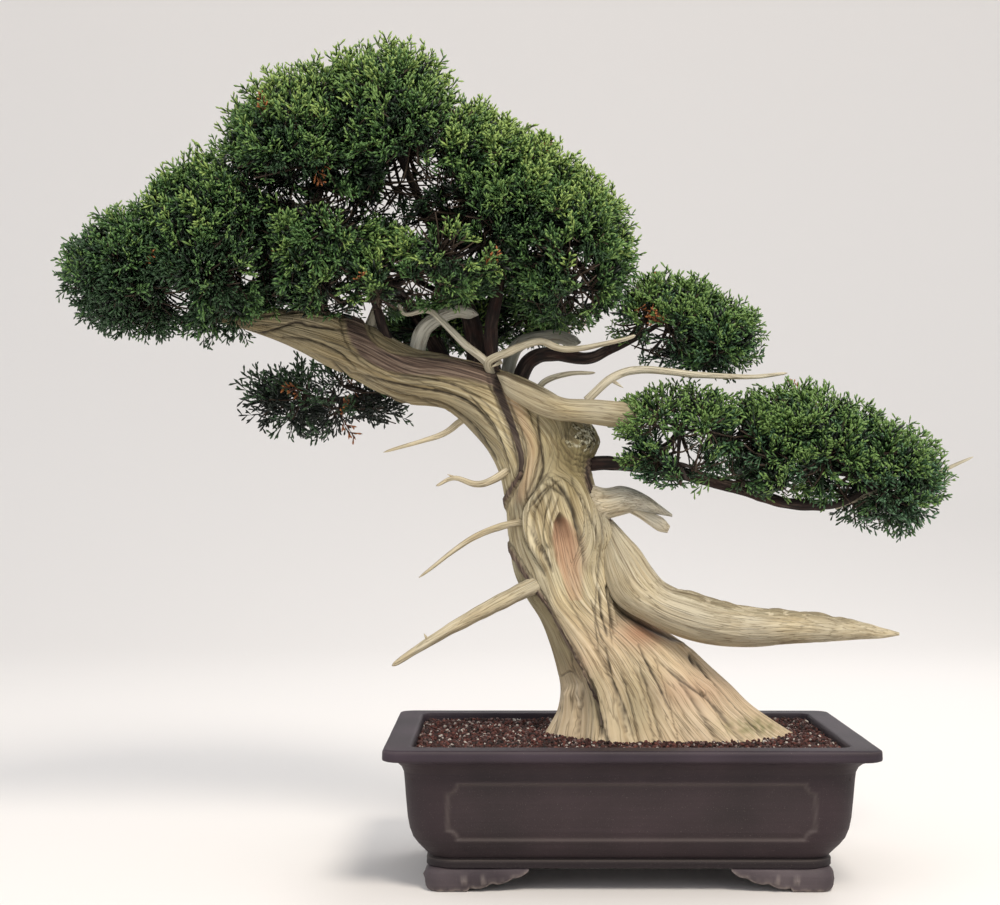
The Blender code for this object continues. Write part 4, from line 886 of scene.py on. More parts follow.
def trunk_place(low, high):
    """A place function for the trunk and its left limb, from one share of their length to another."""
    table, along = smooth_rows([(left[0], 0.0, left[1], right[0], right[1], front, back)
                                for left, right, front, back in TRUNK], TRUNK_STEPS + 1)

    def place(u, v):
        row = np.rint((low + (high - low) * v) * TRUNK_STEPS).astype(int)
        left = stacked(table[row, 0], 0, table[row, 2])
        right = stacked(table[row, 3], 0, table[row, 4])
        middle, half = (left + right) / 2, (right - left) / 2
        angle = 2 * np.pi * u - FRONT_CROWDING * np.cos(2 * np.pi * u)
        flare = np.clip(1 - (middle[:, 2] - SOIL_TOP) / ROOT_FLARE_HEIGHT, 0, 1)
        depth = FLUTE_DEPTH + (ROOT_LOBE_DEPTH - FLUTE_DEPTH) * flare
        groove = 1 - depth * (0.5 - 0.5 * np.cos(ROOT_LOBES * angle))
        reach = np.where(np.sin(angle) > 0, table[row, 6], table[row, 5])
        spoke = half * np.cos(angle)[:, None] + stacked(0, reach * np.sin(angle), 0)
        spoke = spoke * groove[:, None]
        points = middle + spoke
        out = spoke / lengths(spoke)[:, None]
        mean = (lengths(half) + reach) / 2
        across, down = shown_at(points)
        front = step_between(-np.sin(angle), -0.15, 0.15)
        turn = angle + 0.6 * along[row] + front * parted(across, down) / FOCAL_PIXELS * CAMERA_AWAY / mean
        grain = stacked(GRAIN_RADIUS * np.cos(turn), GRAIN_RADIUS * np.sin(turn), along[row])
        gnarled = 1 + 0.8 * step_between(row / TRUNK_STEPS, 0.52, 0.62)
        thick = np.clip(mean / 0.04, 0.12, 1.2) * gnarled
        relief, cavity_shade = fibres(grain)
        marks = Marks(across, down, front, rough(points * 150))
        points = points + out * ((1.5 * relief * thick + marks.rise * np.clip(thick, 0, 1)) / 1000)[:, None]
        # At the back three more live veins climb from the roots to the boughs
        veins = step_between(np.cos(3 * turn + 0.8), 0.90, 0.97) * (1 - front)
        marks.live = np.maximum(marks.live, veins)
        # Rosy wood and live bark take less painted cavity shade
        cavity_shade_share = 1 - np.maximum(0.8 * marks.rosy, marks.live)
        return points, {
            "grain": grain,
            "tint": stacked(marks.live, marks.rosy, marks.green),
            "mark": stacked(np.clip(marks.shaded_crease, 0, 1) * 0.92, marks.crumbled, cavity_shade * cavity_shade_share),
            "tone": stacked(marks.shade, marks.grey, marks.fresh)}

    return place


def outlined_place(stations, rows_count, grey=0.0, flakes=0.0, rim=0.0, start=3.0, green=0.0, even_shade=0.0):
    """A place function for a dead limb drawn between an upper and a lower outline. Flakes of old bark
    stand on its upper side, that many millimetres high, a dark rim edges its start, and even_shade
    lays painted shade over all of it."""
    table = [(*seen_at(*top, depth), *seen_at(*bottom, depth), half) for top, bottom, depth, half in stations]
    rows, along = smooth_rows(table, rows_count + 1)
    # The grain runs straight to the thickest place, and closes in from there
    grain_radius = lengths(rows[:, 0:3] - rows[:, 3:6]) / 4 + rows[:, 6] / 2
    grain_radius = np.maximum.accumulate(grain_radius[::-1])[::-1]

    def place(u, v):
        row = np.rint(v * rows_count).astype(int)
        top, bottom = rows[row, 0:3], rows[row, 3:6]
        middle, half = (top + bottom) / 2, (top - bottom) / 2
        angle = 2 * np.pi * u
        spoke = half * np.cos(angle)[:, None] + stacked(0, rows[row, 6] * np.sin(angle), 0)
        radius = (lengths(half) + rows[row, 6]) / 2
        even = grain_radius[row]
        grain = stacked(even * np.cos(angle), even * np.sin(angle), along[row] + start)
        out = spoke / (lengths(spoke) + 1e-9)[:, None]
        relief, cavity_shade = fibres(grain)
        thin = np.clip(radius / 0.02, 0.1, 1.0)
        upper = step_between(np.cos(angle), 0.55, 0.9) * step_between(v, 0.22, 0.34) * thin
        curl = np.abs(rough(grain * (150, 150, 42.0) + 3.0))
        points = middle + spoke + out * ((1.25 * relief * thin + flakes * upper * 3 * curl) / 1000)[:, None]
        edge = rim * step_between(np.cos(angle), 0.45, 0.75) * step_between(-v, -0.45, -0.25)
        shade = np.maximum(edge, 0.8 * flakes / 2 * upper * (curl > 0.16))
        # painted cavity shade in creases and cracks
        mark = stacked(0.7 * edge, 0, cavity_shade)
        grey_here = grey * np.clip(0.6 + 0.8 * rough(grain * 25), 0, 1)
        # The whole limb darkens with painted shade by even_shade
        tone = stacked(np.maximum(shade, even_shade), grey_here, 0.35 * (1 - shade))
        tint = stacked(0 * u, 0, green)
        return points, {"grain": grain, "tint": tint, "mark": mark, "tone": tone}

    return place


def tube_place(stations, rows_count, relief, start, grey=0.0):
    """A place function for a limb along (x, y, z, radius) rows, with relief in millimetres."""
    rows, along = smooth_rows(stations, rows_count + 1)
    heading = np.gradient(rows[:, :3], axis=0)
    heading /= lengths(heading)[:, None]
    side = np.cross(heading, (0.0, 1.0, 0.08))
    side /= lengths(side)[:, None]
    other = np.cross(heading, side)

    def place(u, v):
        row = np.rint(v * rows_count).astype(int)
        angle = 2 * np.pi * u
        radius = rows[row, 3]
        out = side[row] * np.cos(angle)[:, None] + other[row] * np.sin(angle)[:, None]
        grain = stacked(radius * np.cos(angle), radius * np.sin(angle), along[row] + start)
        rise, cavity_shade = fibres(grain * (1.6, 1.6, 1.6))
        knobs = 0.12 * radius * rough(stacked(out[:, 0], out[:, 2], along[row] * 60 + start))
        points = rows[row, :3] + out * (radius + rise * relief / 1000 + knobs)[:, None]
        # painted cavity shade in creases and cracks
        mark = stacked(0, 0, 0.8 * cavity_shade)
        tone = stacked(0 * u, grey, 0.25 * (1 - grey))
        return points, {"grain": grain, "tint": np.zeros((len(u), 3)), "mark": mark, "tone": tone}

    return place


def limb_stations(root_radius, tip_radius, points):
    """(x, y, z, radius) rows of a limb that tapers faster towards its tip."""
    points = np.array(points, float)
    length = run_along(points)
    radius = root_radius + (tip_radius - root_radius) * (length / length[-1]) ** TAPER
    return np.column_stack([points, radius])


def joined_meshes(meshes, name):
    """Several meshes as one."""
    bm = bmesh.new()
    for mesh in meshes:
        bm.from_mesh(mesh)
        bpy.data.meshes.remove(mesh)
    made = bpy.data.meshes.new(name)
    bm.to_mesh(made)
    bm.free()
    made.shade_smooth()
    return made


def broken_tip(stations):
    """The rows of a dead limb, with its last stretch drawn out to a torn point."""
    before, last = stations[-2], stations[-1]
    ahead = last[:3] - before[:3]
    stretch = np.linalg.norm(ahead)
    # With its neck nearer than this the curve would swing past the point and back
    neck_back = max(last[3] * 1.5, stretch * 0.18)
    neck = np.append(last[:3] - ahead / stretch * neck_back, last[3])
    return np.vstack([stations[:-1], neck, np.append(last[:3], last[3] * 0.15)])


def limb_mesh(name, stations, columns, relief, start, grey=0.0):
    rows = int(lengths(np.diff(stations[:, :3], axis=0)).sum() / LIMB_STEP)
    return wrapped(name, columns, rows, tube_place(stations, rows, relief, start, grey))


def make_dead_limb(name, index):
    stations = broken_tip(limb_stations(*DEADWOOD[name]))
    columns, relief = (28, 0.9) if stations[0, 3] > THICK_LIMB else (16, 0.40)
    grey = GREYED.get(name, 0.15)
    meshes = [limb_mesh(name, stations, columns, relief, 5.0 + index, grey)]
    for host, start, end, radius in SPURS:
        if host == name:
            middle = np.add(start, end) / 2
            spur = np.array([(*start, radius), (*middle, radius * 0.7), (*end, radius * 0.12)])
            meshes.append(wrapped(name, 12, 14, tube_place(spur, 14, 0.2, 9.0, grey)))
    finish_piece(name + "_wood", joined_meshes(meshes, name), [WOOD], "deadwood", name)


def make_bough(name, index):
    mesh = limb_mesh(name, limb_stations(*MASSES[name][2]), 26, 2.0, 20.0 + index)
    finish_piece("bough_" + name + "_bark", mesh, [BARK], "bark", "bough_" + name)


def make_trunk():
    for name, node, low, high in (("trunk_wood", "trunk", 0.0, TRUNK_SHARE),
                                  ("left_limb_wood", "left_limb", TRUNK_SHARE, 1.0)):
        mesh = wrapped(node, TRUNK_SIDES, TRUNK_ROWS, trunk_place(low, high))
        finish_piece(name, mesh, [WOOD], "deadwood", node)


def make_outlined_limbs():
    for name, node, parts in OUTLINED:
        meshes = [wrapped(node, columns, rows, outlined_place(stations, rows, **looks))
                  for stations, columns, rows, looks in parts]
        finish_piece(name, joined_meshes(meshes, node), [WOOD], "deadwood", node)


def rounded_rectangle(half_x, half_y, radius, column):
    """Points round a rounded rectangle for whole column numbers, anticlockwise from the right front.
    Each quarter has a tenth of its columns in the corner and the rest on the straight side."""
    quarter = POT_COLUMNS // 4
    corner_columns = quarter // 10
    turn, step = column // quarter % 4, column % quarter
    bend = np.clip(step / corner_columns, 0, 1)
    run = np.clip((step - corner_columns) / (quarter - corner_columns), 0, 1)
    # Columns stand closer near the ends, where the panels end
    run = np.interp(run, (0, 0.08, 0.30, 0.70, 0.92, 1), (0, 0.06, 0.20, 0.80, 0.94, 1))
    angle = np.radians(90) * (turn + bend)
    side_x = np.array((1, -1, -1, 1))[turn]
    side_y = np.array((1, 1, -1, -1))[turn]
    x = side_x * (half_x - radius) + radius * np.cos(angle)
    y = side_y * (half_y - radius) + radius * np.sin(angle)
    x = x + np.array((-1, 0, 1, 0))[turn] * run * 2 * (half_x - radius)
    y = y + np.array((0, -1, 0, 1))[turn] * run * 2 * (half_y - radius)
    out = stacked(np.cos(angle), np.sin(angle), 0)
    return stacked(x, y, 0), out


def inside_panel(along, half_length, height):
    """How far inside the sunk panel's outline a place on one wall is."""
    from_end = half_length - PANEL_END - np.abs(along)
    over, under = height - PANEL_LOW, PANEL_HIGH - height
    inside = np.minimum(from_end, np.minimum(over, under))
    from_corner = np.minimum(np.hypot(from_end, over), np.hypot(from_end, under))
    return np.minimum(inside, from_corner - PANEL_NOTCH)


def make_pot():
    profile = np.array(POT_PROFILE)
    length = np.concatenate([[0], np.cumsum(np.hypot(np.diff(profile[:, 0]), np.diff(profile[:, 1])))])
    levels = np.concatenate([length, np.arange(0, length[-1], PROFILE_STEP)])
    for edge in (PANEL_LOW, PANEL_HIGH):
        middle = np.interp(edge, profile[:OUTSIDE_POINTS, 0], length[:OUTSIDE_POINTS])
        levels = np.append(levels, np.arange(middle - 0.013, middle + 0.013, PROFILE_STEP / 4))
    levels = np.unique(np.round(levels, 5))
    rows = len(levels) - 1
    table = np.stack([np.interp(levels, length, profile[:, i]) for i in range(3)], axis=1)
    outside = levels < length[OUTSIDE_POINTS]

    def place(u, v):
        row = np.rint(v * rows).astype(int)
        column = np.rint(u * POT_COLUMNS).astype(int)
        height, inset, radius = table[row].T
        points, out = rounded_rectangle(POT_LENGTH / 2 - inset, POT_DEPTH / 2 - inset, radius, column)
        points[:, 2] = height
        long_wall = np.abs(out[:, 1]) > 0.99
        short_wall = np.abs(out[:, 0]) > 0.99
        inside = np.where(long_wall, inside_panel(points[:, 0], POT_LENGTH / 2, height), -1.0)
        inside = np.where(short_wall, inside_panel(points[:, 1], POT_DEPTH / 2, height), inside)
        sink = step_between(inside, 0, PANEL_EDGE) * outside[row]
        wobble = 0.00025 * (1 + rough(points * 22)) * (height > FOOT_HEIGHT + 0.002)
        points = points - out * (sink * PANEL_DEPTH + wobble)[:, None]
        # Painted highlights on the panel's outline and the plinth's ledge, and a pale line on the lip's edge
        rim = 0
        for value, middle, spread, wear_and_highlight in RIMS:
            rim = rim + wear_and_highlight * bell((inside, height)[value], middle, spread)
        return points, {"wear_and_highlight": stacked((rim + 0.02 * sink) * outside[row], 0, 0)}

    walls = wrapped("pot", POT_COLUMNS, rows, place)
    feet = [make_foot(side_x, side_y) for side_x in (-1, 1) for side_y in (-1, 1)]
    mesh = joined_meshes([walls, *feet], "pot")
    mesh.set_sharp_from_angle(angle=math.radians(50))
    finish_piece("pot_clay", mesh, [CLAY], "clay", "pot", "foot_front_left", "foot_front_right",
                 "foot_back_left", "foot_back_right")


def foot_underside(along):
    """How high the foot's underside is, as a share of the foot's height, at shares of its length from
    the corner: flat to a third, then three scallops that rise."""
    along = np.abs(along)
    height = np.interp(along, (0, 0.36, 0.385, 0.60, 0.82, 1.0), (0, 0, 0.14, 0.32, 0.55, 0.97))
    for start, end in ((0.385, 0.60), (0.60, 0.82), (0.82, 1.0)):
        share = np.clip((along - start) / (end - start), 0, 1)
        height = height - 0.11 * np.sin(np.pi * share)
    return np.clip(height, 0, 0.97)


def make_foot(side_x, side_y):
    """A cloud-shaped foot that wraps a corner: a plump strip bent round it, with two bosses on each side."""
    half_x, half_y = POT_LENGTH / 2 - FOOT_INSET, POT_DEPTH / 2 - FOOT_INSET
    straight_x, straight_y = FOOT_LONG - FOOT_CORNER, FOOT_SHORT - FOOT_CORNER
    arc = FOOT_CORNER * math.pi / 2
    total = straight_x + arc + straight_y

    def place(u, v):
        run = v * total - straight_y
        # Along Y, round the corner, then along X, where the corner's middle is the origin
        turned = np.clip(run / arc, 0, 1) * np.pi / 2
        out = stacked(-np.cos(turned), -np.sin(turned), 0)
        path = out * FOOT_CORNER
        path[:, 1] += np.clip(-run, 0, None)
        path[:, 0] += np.clip(run - arc, 0, None)
        along = np.where(run < arc / 2, (arc / 2 - run) / FOOT_SHORT, (run - arc / 2) / FOOT_LONG)
        low = foot_underside(along) * FOOT_HEIGHT
        angle = 2 * np.pi * u
        across = np.sign(np.cos(angle)) * np.abs(np.cos(angle)) ** 0.35
        up = np.sign(np.sin(angle)) * np.abs(np.sin(angle)) ** 0.35
        thick = FOOT_THICKNESS / 2 * np.clip((1 - along) / 0.04, 0.25, 1) ** 0.5
        plump = 0.0035 * np.clip(1 - along, 0, 1) * (1 - up ** 2) + 0.0012
        inward = across * thick + (across < 0) * -plump
        height = low + (FOOT_HEIGHT - low) * (up + 1) / 2
        points = path - out * (thick + inward)[:, None]
        points[:, 2] = height
        boss_highlight = np.zeros(len(u))
        for boss_along in (0.33, 0.52):
            near = np.hypot((along - boss_along) * FOOT_LONG, height - 0.0115)
            rise = 0.0020 * step_between(-near, -0.0064, -0.0050) + 0.0018 * step_between(-near, -0.0040, 0)
            rise -= 0.0016 * bell(near, 0.0047, 0.0007)
            points[:, :2] += out[:, :2] * (rise * (across < -0.6))[:, None]
            # Painted highlight on each boss's top
            boss_highlight = np.maximum(boss_highlight, 0.30 * step_between(-near, -0.0046, -0.0030) * (across < -0.6))
        points[:, 0] -= half_x - FOOT_CORNER
        points[:, 1] -= half_y - FOOT_CORNER
        edge = bell(height, low, 0.0030)
        # Pale rubbing on the feet's lower edges, with the bosses' painted highlight
        wear_and_highlight = np.maximum(edge * (0.45 + 0.9 * rough(points * 260)) * (across < 0.2), boss_highlight)
        points *= (-side_x, -side_y, 1)
        return points, {"wear_and_highlight": stacked(np.clip(wear_and_highlight, 0, 1), 0, 0)}

    return wrapped("foot", *FOOT_GRID, place)


def ground_height(x, y):
    """The soil's surface: low mounds, level round the trunk, and a little lower at the wall."""
    from_wall = min(POT_LENGTH / 2 - SOIL_EDGE - abs(x), POT_DEPTH / 2 - SOIL_EDGE - abs(y))
    edge = max(0.0, 1 - from_wall / 0.020)
    (left, _), (right, _), front, back = TRUNK[0]
    across = (x - (left + right) / 2) / ((right - left) / 2 + SOIL_LEVEL_RIM)
    away = math.hypot(across, y / (max(front, back) + SOIL_LEVEL_RIM)) - 1
    wave = math.sin(math.pi * x / SOIL_MOUNDS_APART) * math.cos(math.pi * y / SOIL_MOUNDS_APART)
    dip = SOIL_DIP * max(0.0, min(1.0, away * 4)) * (0.5 + 0.5 * wave)
    return SOIL_TOP - max(dip, 0.0030 * edge) + 0.0005 * noise.noise(Vector((x, y, 0.3)) * 60)


def under_trunk(x, y):
    """True where the trunk stands."""
    (left, _), (right, _), front, back = TRUNK[0]
    reach = front if y < 0 else back
    return ((x - (left + right) / 2) / ((right - left) / 2 - 0.010)) ** 2 + (y / (reach - 0.010)) ** 2 < 1


def make_soil():
    rng = random.Random(SEED)
    half_x, half_y = POT_LENGTH / 2 - SOIL_EDGE, POT_DEPTH / 2 - SOIL_EDGE
    bm = bmesh.new()
    bmesh.ops.create_grid(bm, x_segments=SOIL_BED_CELLS[0], y_segments=SOIL_BED_CELLS[1], size=0.5)
    for vertex in bm.verts:
        x, y = vertex.co.x * 2 * (half_x - 0.0003), vertex.co.y * 2 * (half_y - 0.0003)
        vertex.co = (x, y, ground_height(x, y) - 0.0016)
    top = list(bm.faces)
    body = bmesh.ops.extrude_face_region(bm, geom=top)["geom"]
    low = [part for part in body if isinstance(part, bmesh.types.BMVert)]
    for vertex in low:
        vertex.co.z = SOIL_TOP - 0.030
    finish_piece("soil_bed", mesh_from(bm, "soil_bed"), [SOILS[0]], "soil", "soil")
    shape = bmesh.new()
    bmesh.ops.create_icosphere(shape, subdivisions=1, radius=1.0)
    corners = np.array([vertex.co for vertex in shape.verts])
    faces = np.array([[vertex.index for vertex in face.verts] for face in shape.faces])
    shape.free()
    points, kinds = [], []
    while len(points) < GRAINS:
        x, y = rng.uniform(-half_x, half_x), rng.uniform(-half_y, half_y)
        if under_trunk(x, y):
            continue
        radius = rng.uniform(*GRAIN_SIZES) * rng.uniform(0.8, 1.0)
        limit = (half_x - radius - 0.0004, half_y - radius - 0.0004)
        if abs(x) > limit[0] or abs(y) > limit[1]:
            continue
        stretch = np.array([rng.uniform(0.75, 1.25) for _ in range(3)])
        turn = np.array(Matrix.Rotation(rng.uniform(0, 6.28), 3, Vector((rng.random(), rng.random(), 1))))
        uneven = 1 + 0.18 * np.array([rng.uniform(-1, 1) for _ in corners])[:, None]
        height = ground_height(x, y) + radius * rng.uniform(-0.5, 0.55)
        points.append((corners * uneven * stretch * radius) @ turn.T + (x, y, height))
        kinds.append(rng.choices(range(len(SOIL_MIX)), weights=SOIL_MIX)[0])
    grains = Heap()
    grains.add_copies(np.array(points), faces, np.repeat(kinds, len(faces)))
    finish_piece("soil_grains", grains.mesh("soil_grains"), SOILS, "soil")


def mesh_of_triangles(name, points, corners, slots):
    mesh = bpy.data.meshes.new(name)
    mesh.vertices.add(len(points))
    mesh.vertices.foreach_set("co", np.asarray(points, np.float32).ravel())
    mesh.loops.add(len(corners))
    mesh.loops.foreach_set("vertex_index", np.asarray(corners, np.int32))
    triangles = len(corners) // 3
    mesh.polygons.add(triangles)
    mesh.polygons.foreach_set("loop_start", np.arange(0, triangles * 3, 3, dtype=np.int32))
    mesh.polygons.foreach_set("material_index", np.asarray(slots, np.int32))
    mesh.update(calc_edges=True)
    return mesh


def even_directions(count, turn):
    """Unit vectors spread evenly over a sphere, on a spiral from its top to its bottom."""
    golden = math.pi * (3 - math.sqrt(5))
    i = np.arange(count)
    height = 1 - 2 * (i + 0.5) / count
    level = np.sqrt(1 - height * height)
    return stacked(level * np.cos(golden * i + turn), level * np.sin(golden * i + turn), height)


def limb_lines():
    """(start, end, start radius, end radius) of every piece of the trunk and limbs, as four arrays."""
    lines = [[((left[0] + right[0]) / 2, 0.0, (left[1] + right[1]) / 2,
               max(math.dist(left, right) / 2, front, back)) for left, right, front, back in TRUNK]]
    for stations in (RIGHT_LIMB, TOP_PLATE, RIGHT_STUB):
        lines.append([(*(np.add(seen_at(*top, depth), seen_at(*bottom, depth)) / 2), half)
                      for top, bottom, depth, half in stations])
    lines += [limb_stations(*limb) for limb in DEADWOOD.values()]
    lines += [limb_stations(*mass[2]) for mass in MASSES.values()]
    starts = np.concatenate([np.array(line)[:-1] for line in lines])
    ends = np.concatenate([np.array(line)[1:] for line in lines])
    return starts[:, :3], ends[:, :3], starts[:, 3], ends[:, 3]


def clear_of_limbs(points):
    clear = np.ones(len(points), bool)
    for start, end, start_radius, end_radius in zip(*LIMB_LINES):
        along = end - start
        share = np.clip((points - start) @ along / (along @ along), 0, 1)
        away = lengths(points - start - share[:, None] * along)
        clear &= away > start_radius + (end_radius - start_radius) * share + LIMB_MARGIN
    return clear


def mass_nearness(name, points):
    """0 at the middle of the mass's nearest lobe and 1 on its outline."""
    return np.min([lengths((points - np.array(middle)) / half)
                   for middle, half in MASSES[name][1]], axis=0)


def crown_nearness(points):
    """The nearness to the nearest of all lobes, lowered where lobes meet so that no notches show."""
    total = sum(np.exp(-CROWN_BLEND * lengths((points - np.array(middle)) / half))
                for _, lobes, _ in MASSES.values() for middle, half in lobes)
    return -np.log(total) / CROWN_BLEND


def sky_specks():
    """(x, z, radius) of every narrow gap, at the pot's middle depth."""
    rng = np.random.default_rng(SEED)
    specks = []
    for middle, half, count in SKY_SPECKS:
        turn, away = rng.uniform(0, 2 * np.pi, count), np.sqrt(rng.uniform(0, 1, count))
        x, z = middle[0] + half[0] * away * np.cos(turn), middle[1] + half[1] * away * np.sin(turn)
        specks.append(stacked(x, z, rng.uniform(*SPECK_RADIUS, count)))
    return np.concatenate(specks)


def leaves_sky(points):
    """True where a point keeps its room from every sky speck's line of sight."""
    clear = np.ones(len(points), bool)
    flat_x = points[:, 0] - SIGHT_SHIFT[0] * points[:, 1]
    flat_z = points[:, 2] - SIGHT_SHIFT[1] * points[:, 1]
    for x, z, radius in SPECKS:
        clear &= np.hypot(flat_x - x, flat_z - z) > radius + SPECK_ROOM
    return clear


def in_own_space(name, points, reach):
    own = mass_nearness(name, points)
    inside = crown_nearness(points) < reach
    for other in MASSES:
        if other != name:
            inside &= mass_nearness(other, points) > own + SPACE_MARGIN
    return inside & clear_of_limbs(points)


def finger(bm, start, end, radius, kinds):
    """A blunt three-sided finger of leaves, thickest near its end, with a slot for each part."""
    start, end = Vector(start), Vector(end)
    start = start - (end - start) * 0.15
    thickest = start.lerp(end, THICKEST)
    turn = (end - start).to_track_quat("Z", "Y").to_matrix().to_4x4()
    halves = []
    parts = ((start, thickest, 0.0, radius), (thickest, end, radius, 0.0))
    for (low, high, low_radius, high_radius), kind in zip(parts, kinds):
        place = Matrix.Translation((low + high) / 2) @ turn
        made = bmesh.ops.create_cone(bm, cap_ends=False, segments=3, radius1=low_radius, radius2=high_radius,
                                     depth=(high - low).length, matrix=place)["verts"]
        for face in {face for vertex in made for face in vertex.link_faces}:
            face.material_index = kind
        halves += made
    bmesh.ops.remove_doubles(bm, verts=halves, dist=1e-6)


def shape_arrays(bm):
    """A shape's points, its triangles and the kind of each."""
    bmesh.ops.triangulate(bm, faces=bm.faces)
    bm.verts.index_update()
    points = np.array([vertex.co for vertex in bm.verts])
    triangles = np.array([[vertex.index for vertex in face.verts] for face in bm.faces])
    kinds = np.array([face.material_index for face in bm.faces])
    bm.free()
    return points, triangles, kinds


def spray_shape(rng):
    """A spray of scale leaves that grows along Z and lies nearly flat in X and Z: a stalk with blunt
    fingers to both sides, some of them forked, as coral is."""
    bm = bmesh.new()
    length, radius = SPRAY_LENGTH, FINGER_RADIUS
    bend = rng.uniform(-0.10, 0.10) * length
    knee = Vector((bend, rng.uniform(-0.04, 0.04) * length, KNEE * length))
    top = Vector((bend * 0.3, rng.uniform(-0.10, 0.10) * length, length))
    finger(bm, (0, 0, 0), knee, radius * 0.80, (0, 0))
    finger(bm, knee, top, radius, (0, 1))
    side = rng.choice((-1, 1))
    for order, share in enumerate(SIDE_FINGERS):
        side = -side
        if share < KNEE:
            root = Vector((0, 0, 0)).lerp(knee, share / KNEE)
        else:
            root = knee.lerp(top, (share - KNEE) / (1 - KNEE))
        spread = math.radians(rng.uniform(34, 56))
        reach = length * (0.50 - 0.050 * order) * rng.uniform(0.80, 1.15)
        tip = root + Vector((side * math.sin(spread), rng.uniform(-0.38, 0.38), math.cos(spread))) * reach
        finger(bm, root, tip, radius * 0.95, (1, 1))
        if order < FORKED_FINGERS:
            middle = root.lerp(tip, 0.42)
            fork = middle + Vector((side * 0.08, rng.uniform(-0.25, 0.25), 0.50)) * reach
            finger(bm, middle, fork, radius * 0.90, (1, 1))
    return shape_arrays(bm)


def inner_shape():
    """A coarse dark spray for a mass's inside."""
    bm = bmesh.new()
    length = SPRAY_LENGTH * 1.1
    for across, low, high in ((0.0, 0.0, 1.0), (-0.34, 0.2, 0.62), (0.36, 0.34, 0.80), (-0.28, 0.5, 0.92)):
        finger(bm, (0, 0, low * length), (across * length, 0.08 * length * (across > 0), high * length),
               FINGER_RADIUS * 1.25, (0, 1))
    return shape_arrays(bm)


def placed(shape, feet, headings, rolls, sizes):
    """Copies of a shape with their feet at these points, growing along these headings."""
    points = shape[0]
    level = np.cross(headings, (0.0, 0.0, 1.0)) + 1e-6
    level /= lengths(level)[:, None]
    other = np.cross(headings, level)
    side = level * np.cos(rolls)[:, None] + other * np.sin(rolls)[:, None]
    normal = np.cross(headings, side)
    local = points[None] * sizes[:, None, None]
    return (feet[:, None] + local[..., 0:1] * side[:, None] + local[..., 1:2] * normal[:, None]
            + local[..., 2:3] * headings[:, None])


class Heap:
    """Triangles gathered from many copies before they become one mesh."""

    def __init__(self):
        self.points, self.corners, self.slots, self.count = [], [], [], 0

    def add_copies(self, points, triangles, slots):
        """Points of each copy, the shape's triangles, and the slot of each triangle of each copy."""
        copies, size = points.shape[:2]
        offsets = self.count + np.arange(copies)[:, None, None] * size
        self.points.append(points.reshape(-1, 3))
        self.corners.append((triangles[None] + offsets).reshape(-1))
        self.slots.append(np.asarray(slots).reshape(-1))
        self.count += copies * size

    def mesh(self, name):
        return mesh_of_triangles(name, np.concatenate(self.points), np.concatenate(self.corners),
                                 np.concatenate(self.slots))


def twig_tubes(starts, bends, ends, start_radius, end_radius, steps, sides):
    """Tapering twigs along curves from starts to ends, pulled towards the bends."""
    t = np.linspace(0, 1, steps + 1)[None, :, None]
    line = starts[:, None] * (1 - t) ** 2 + 2 * bends[:, None] * t * (1 - t) + ends[:, None] * t ** 2
    along = ends - starts
    along /= lengths(along)[:, None] + 1e-9
    side = np.cross(along, (0.3, 0.2, 0.93))
    side /= lengths(side)[:, None] + 1e-9
    other = np.cross(along, side)
    angle = 2 * np.pi * np.arange(sides) / sides
    ring = np.cos(angle)[None, :, None] * side[:, None] + np.sin(angle)[None, :, None] * other[:, None]
    radius = start_radius + (end_radius - start_radius) * t
    points = line[:, :, None] + ring[:, None] * radius[..., None]
    last = steps * sides
    triangles = [(0, i + 1, i) for i in range(1, sides - 1)]
    triangles += [(last, last + i, last + i + 1) for i in range(1, sides - 1)]
    for step in range(steps):
        for i in range(sides):
            a, b = step * sides + i, step * sides + (i + 1) % sides
            triangles += [(a, b, b + sides), (a, b + sides, a + sides)]
    return points.reshape(len(starts), -1, 3), np.array(triangles)


def curve_at(starts, bends, ends, t):
    t = t[:, None]
    return starts * (1 - t) ** 2 + 2 * bends * t * (1 - t) + ends * t ** 2


def spoke_ends(name, middle, outward, goals):
    """How far spokes from a lobe's middle reach before they meet the crown's outline, another mass's
    space or a limb, as shares of the spokes."""
    reach = np.full(len(outward), 0.3)
    growing = np.ones(len(outward), bool)
    for share in np.arange(0.33, 1.7, 0.03):
        ends = middle + outward * share
        growing &= (crown_nearness(ends) < goals) & in_own_space(name, ends, 9.0)
        reach[growing] = share
    return reach


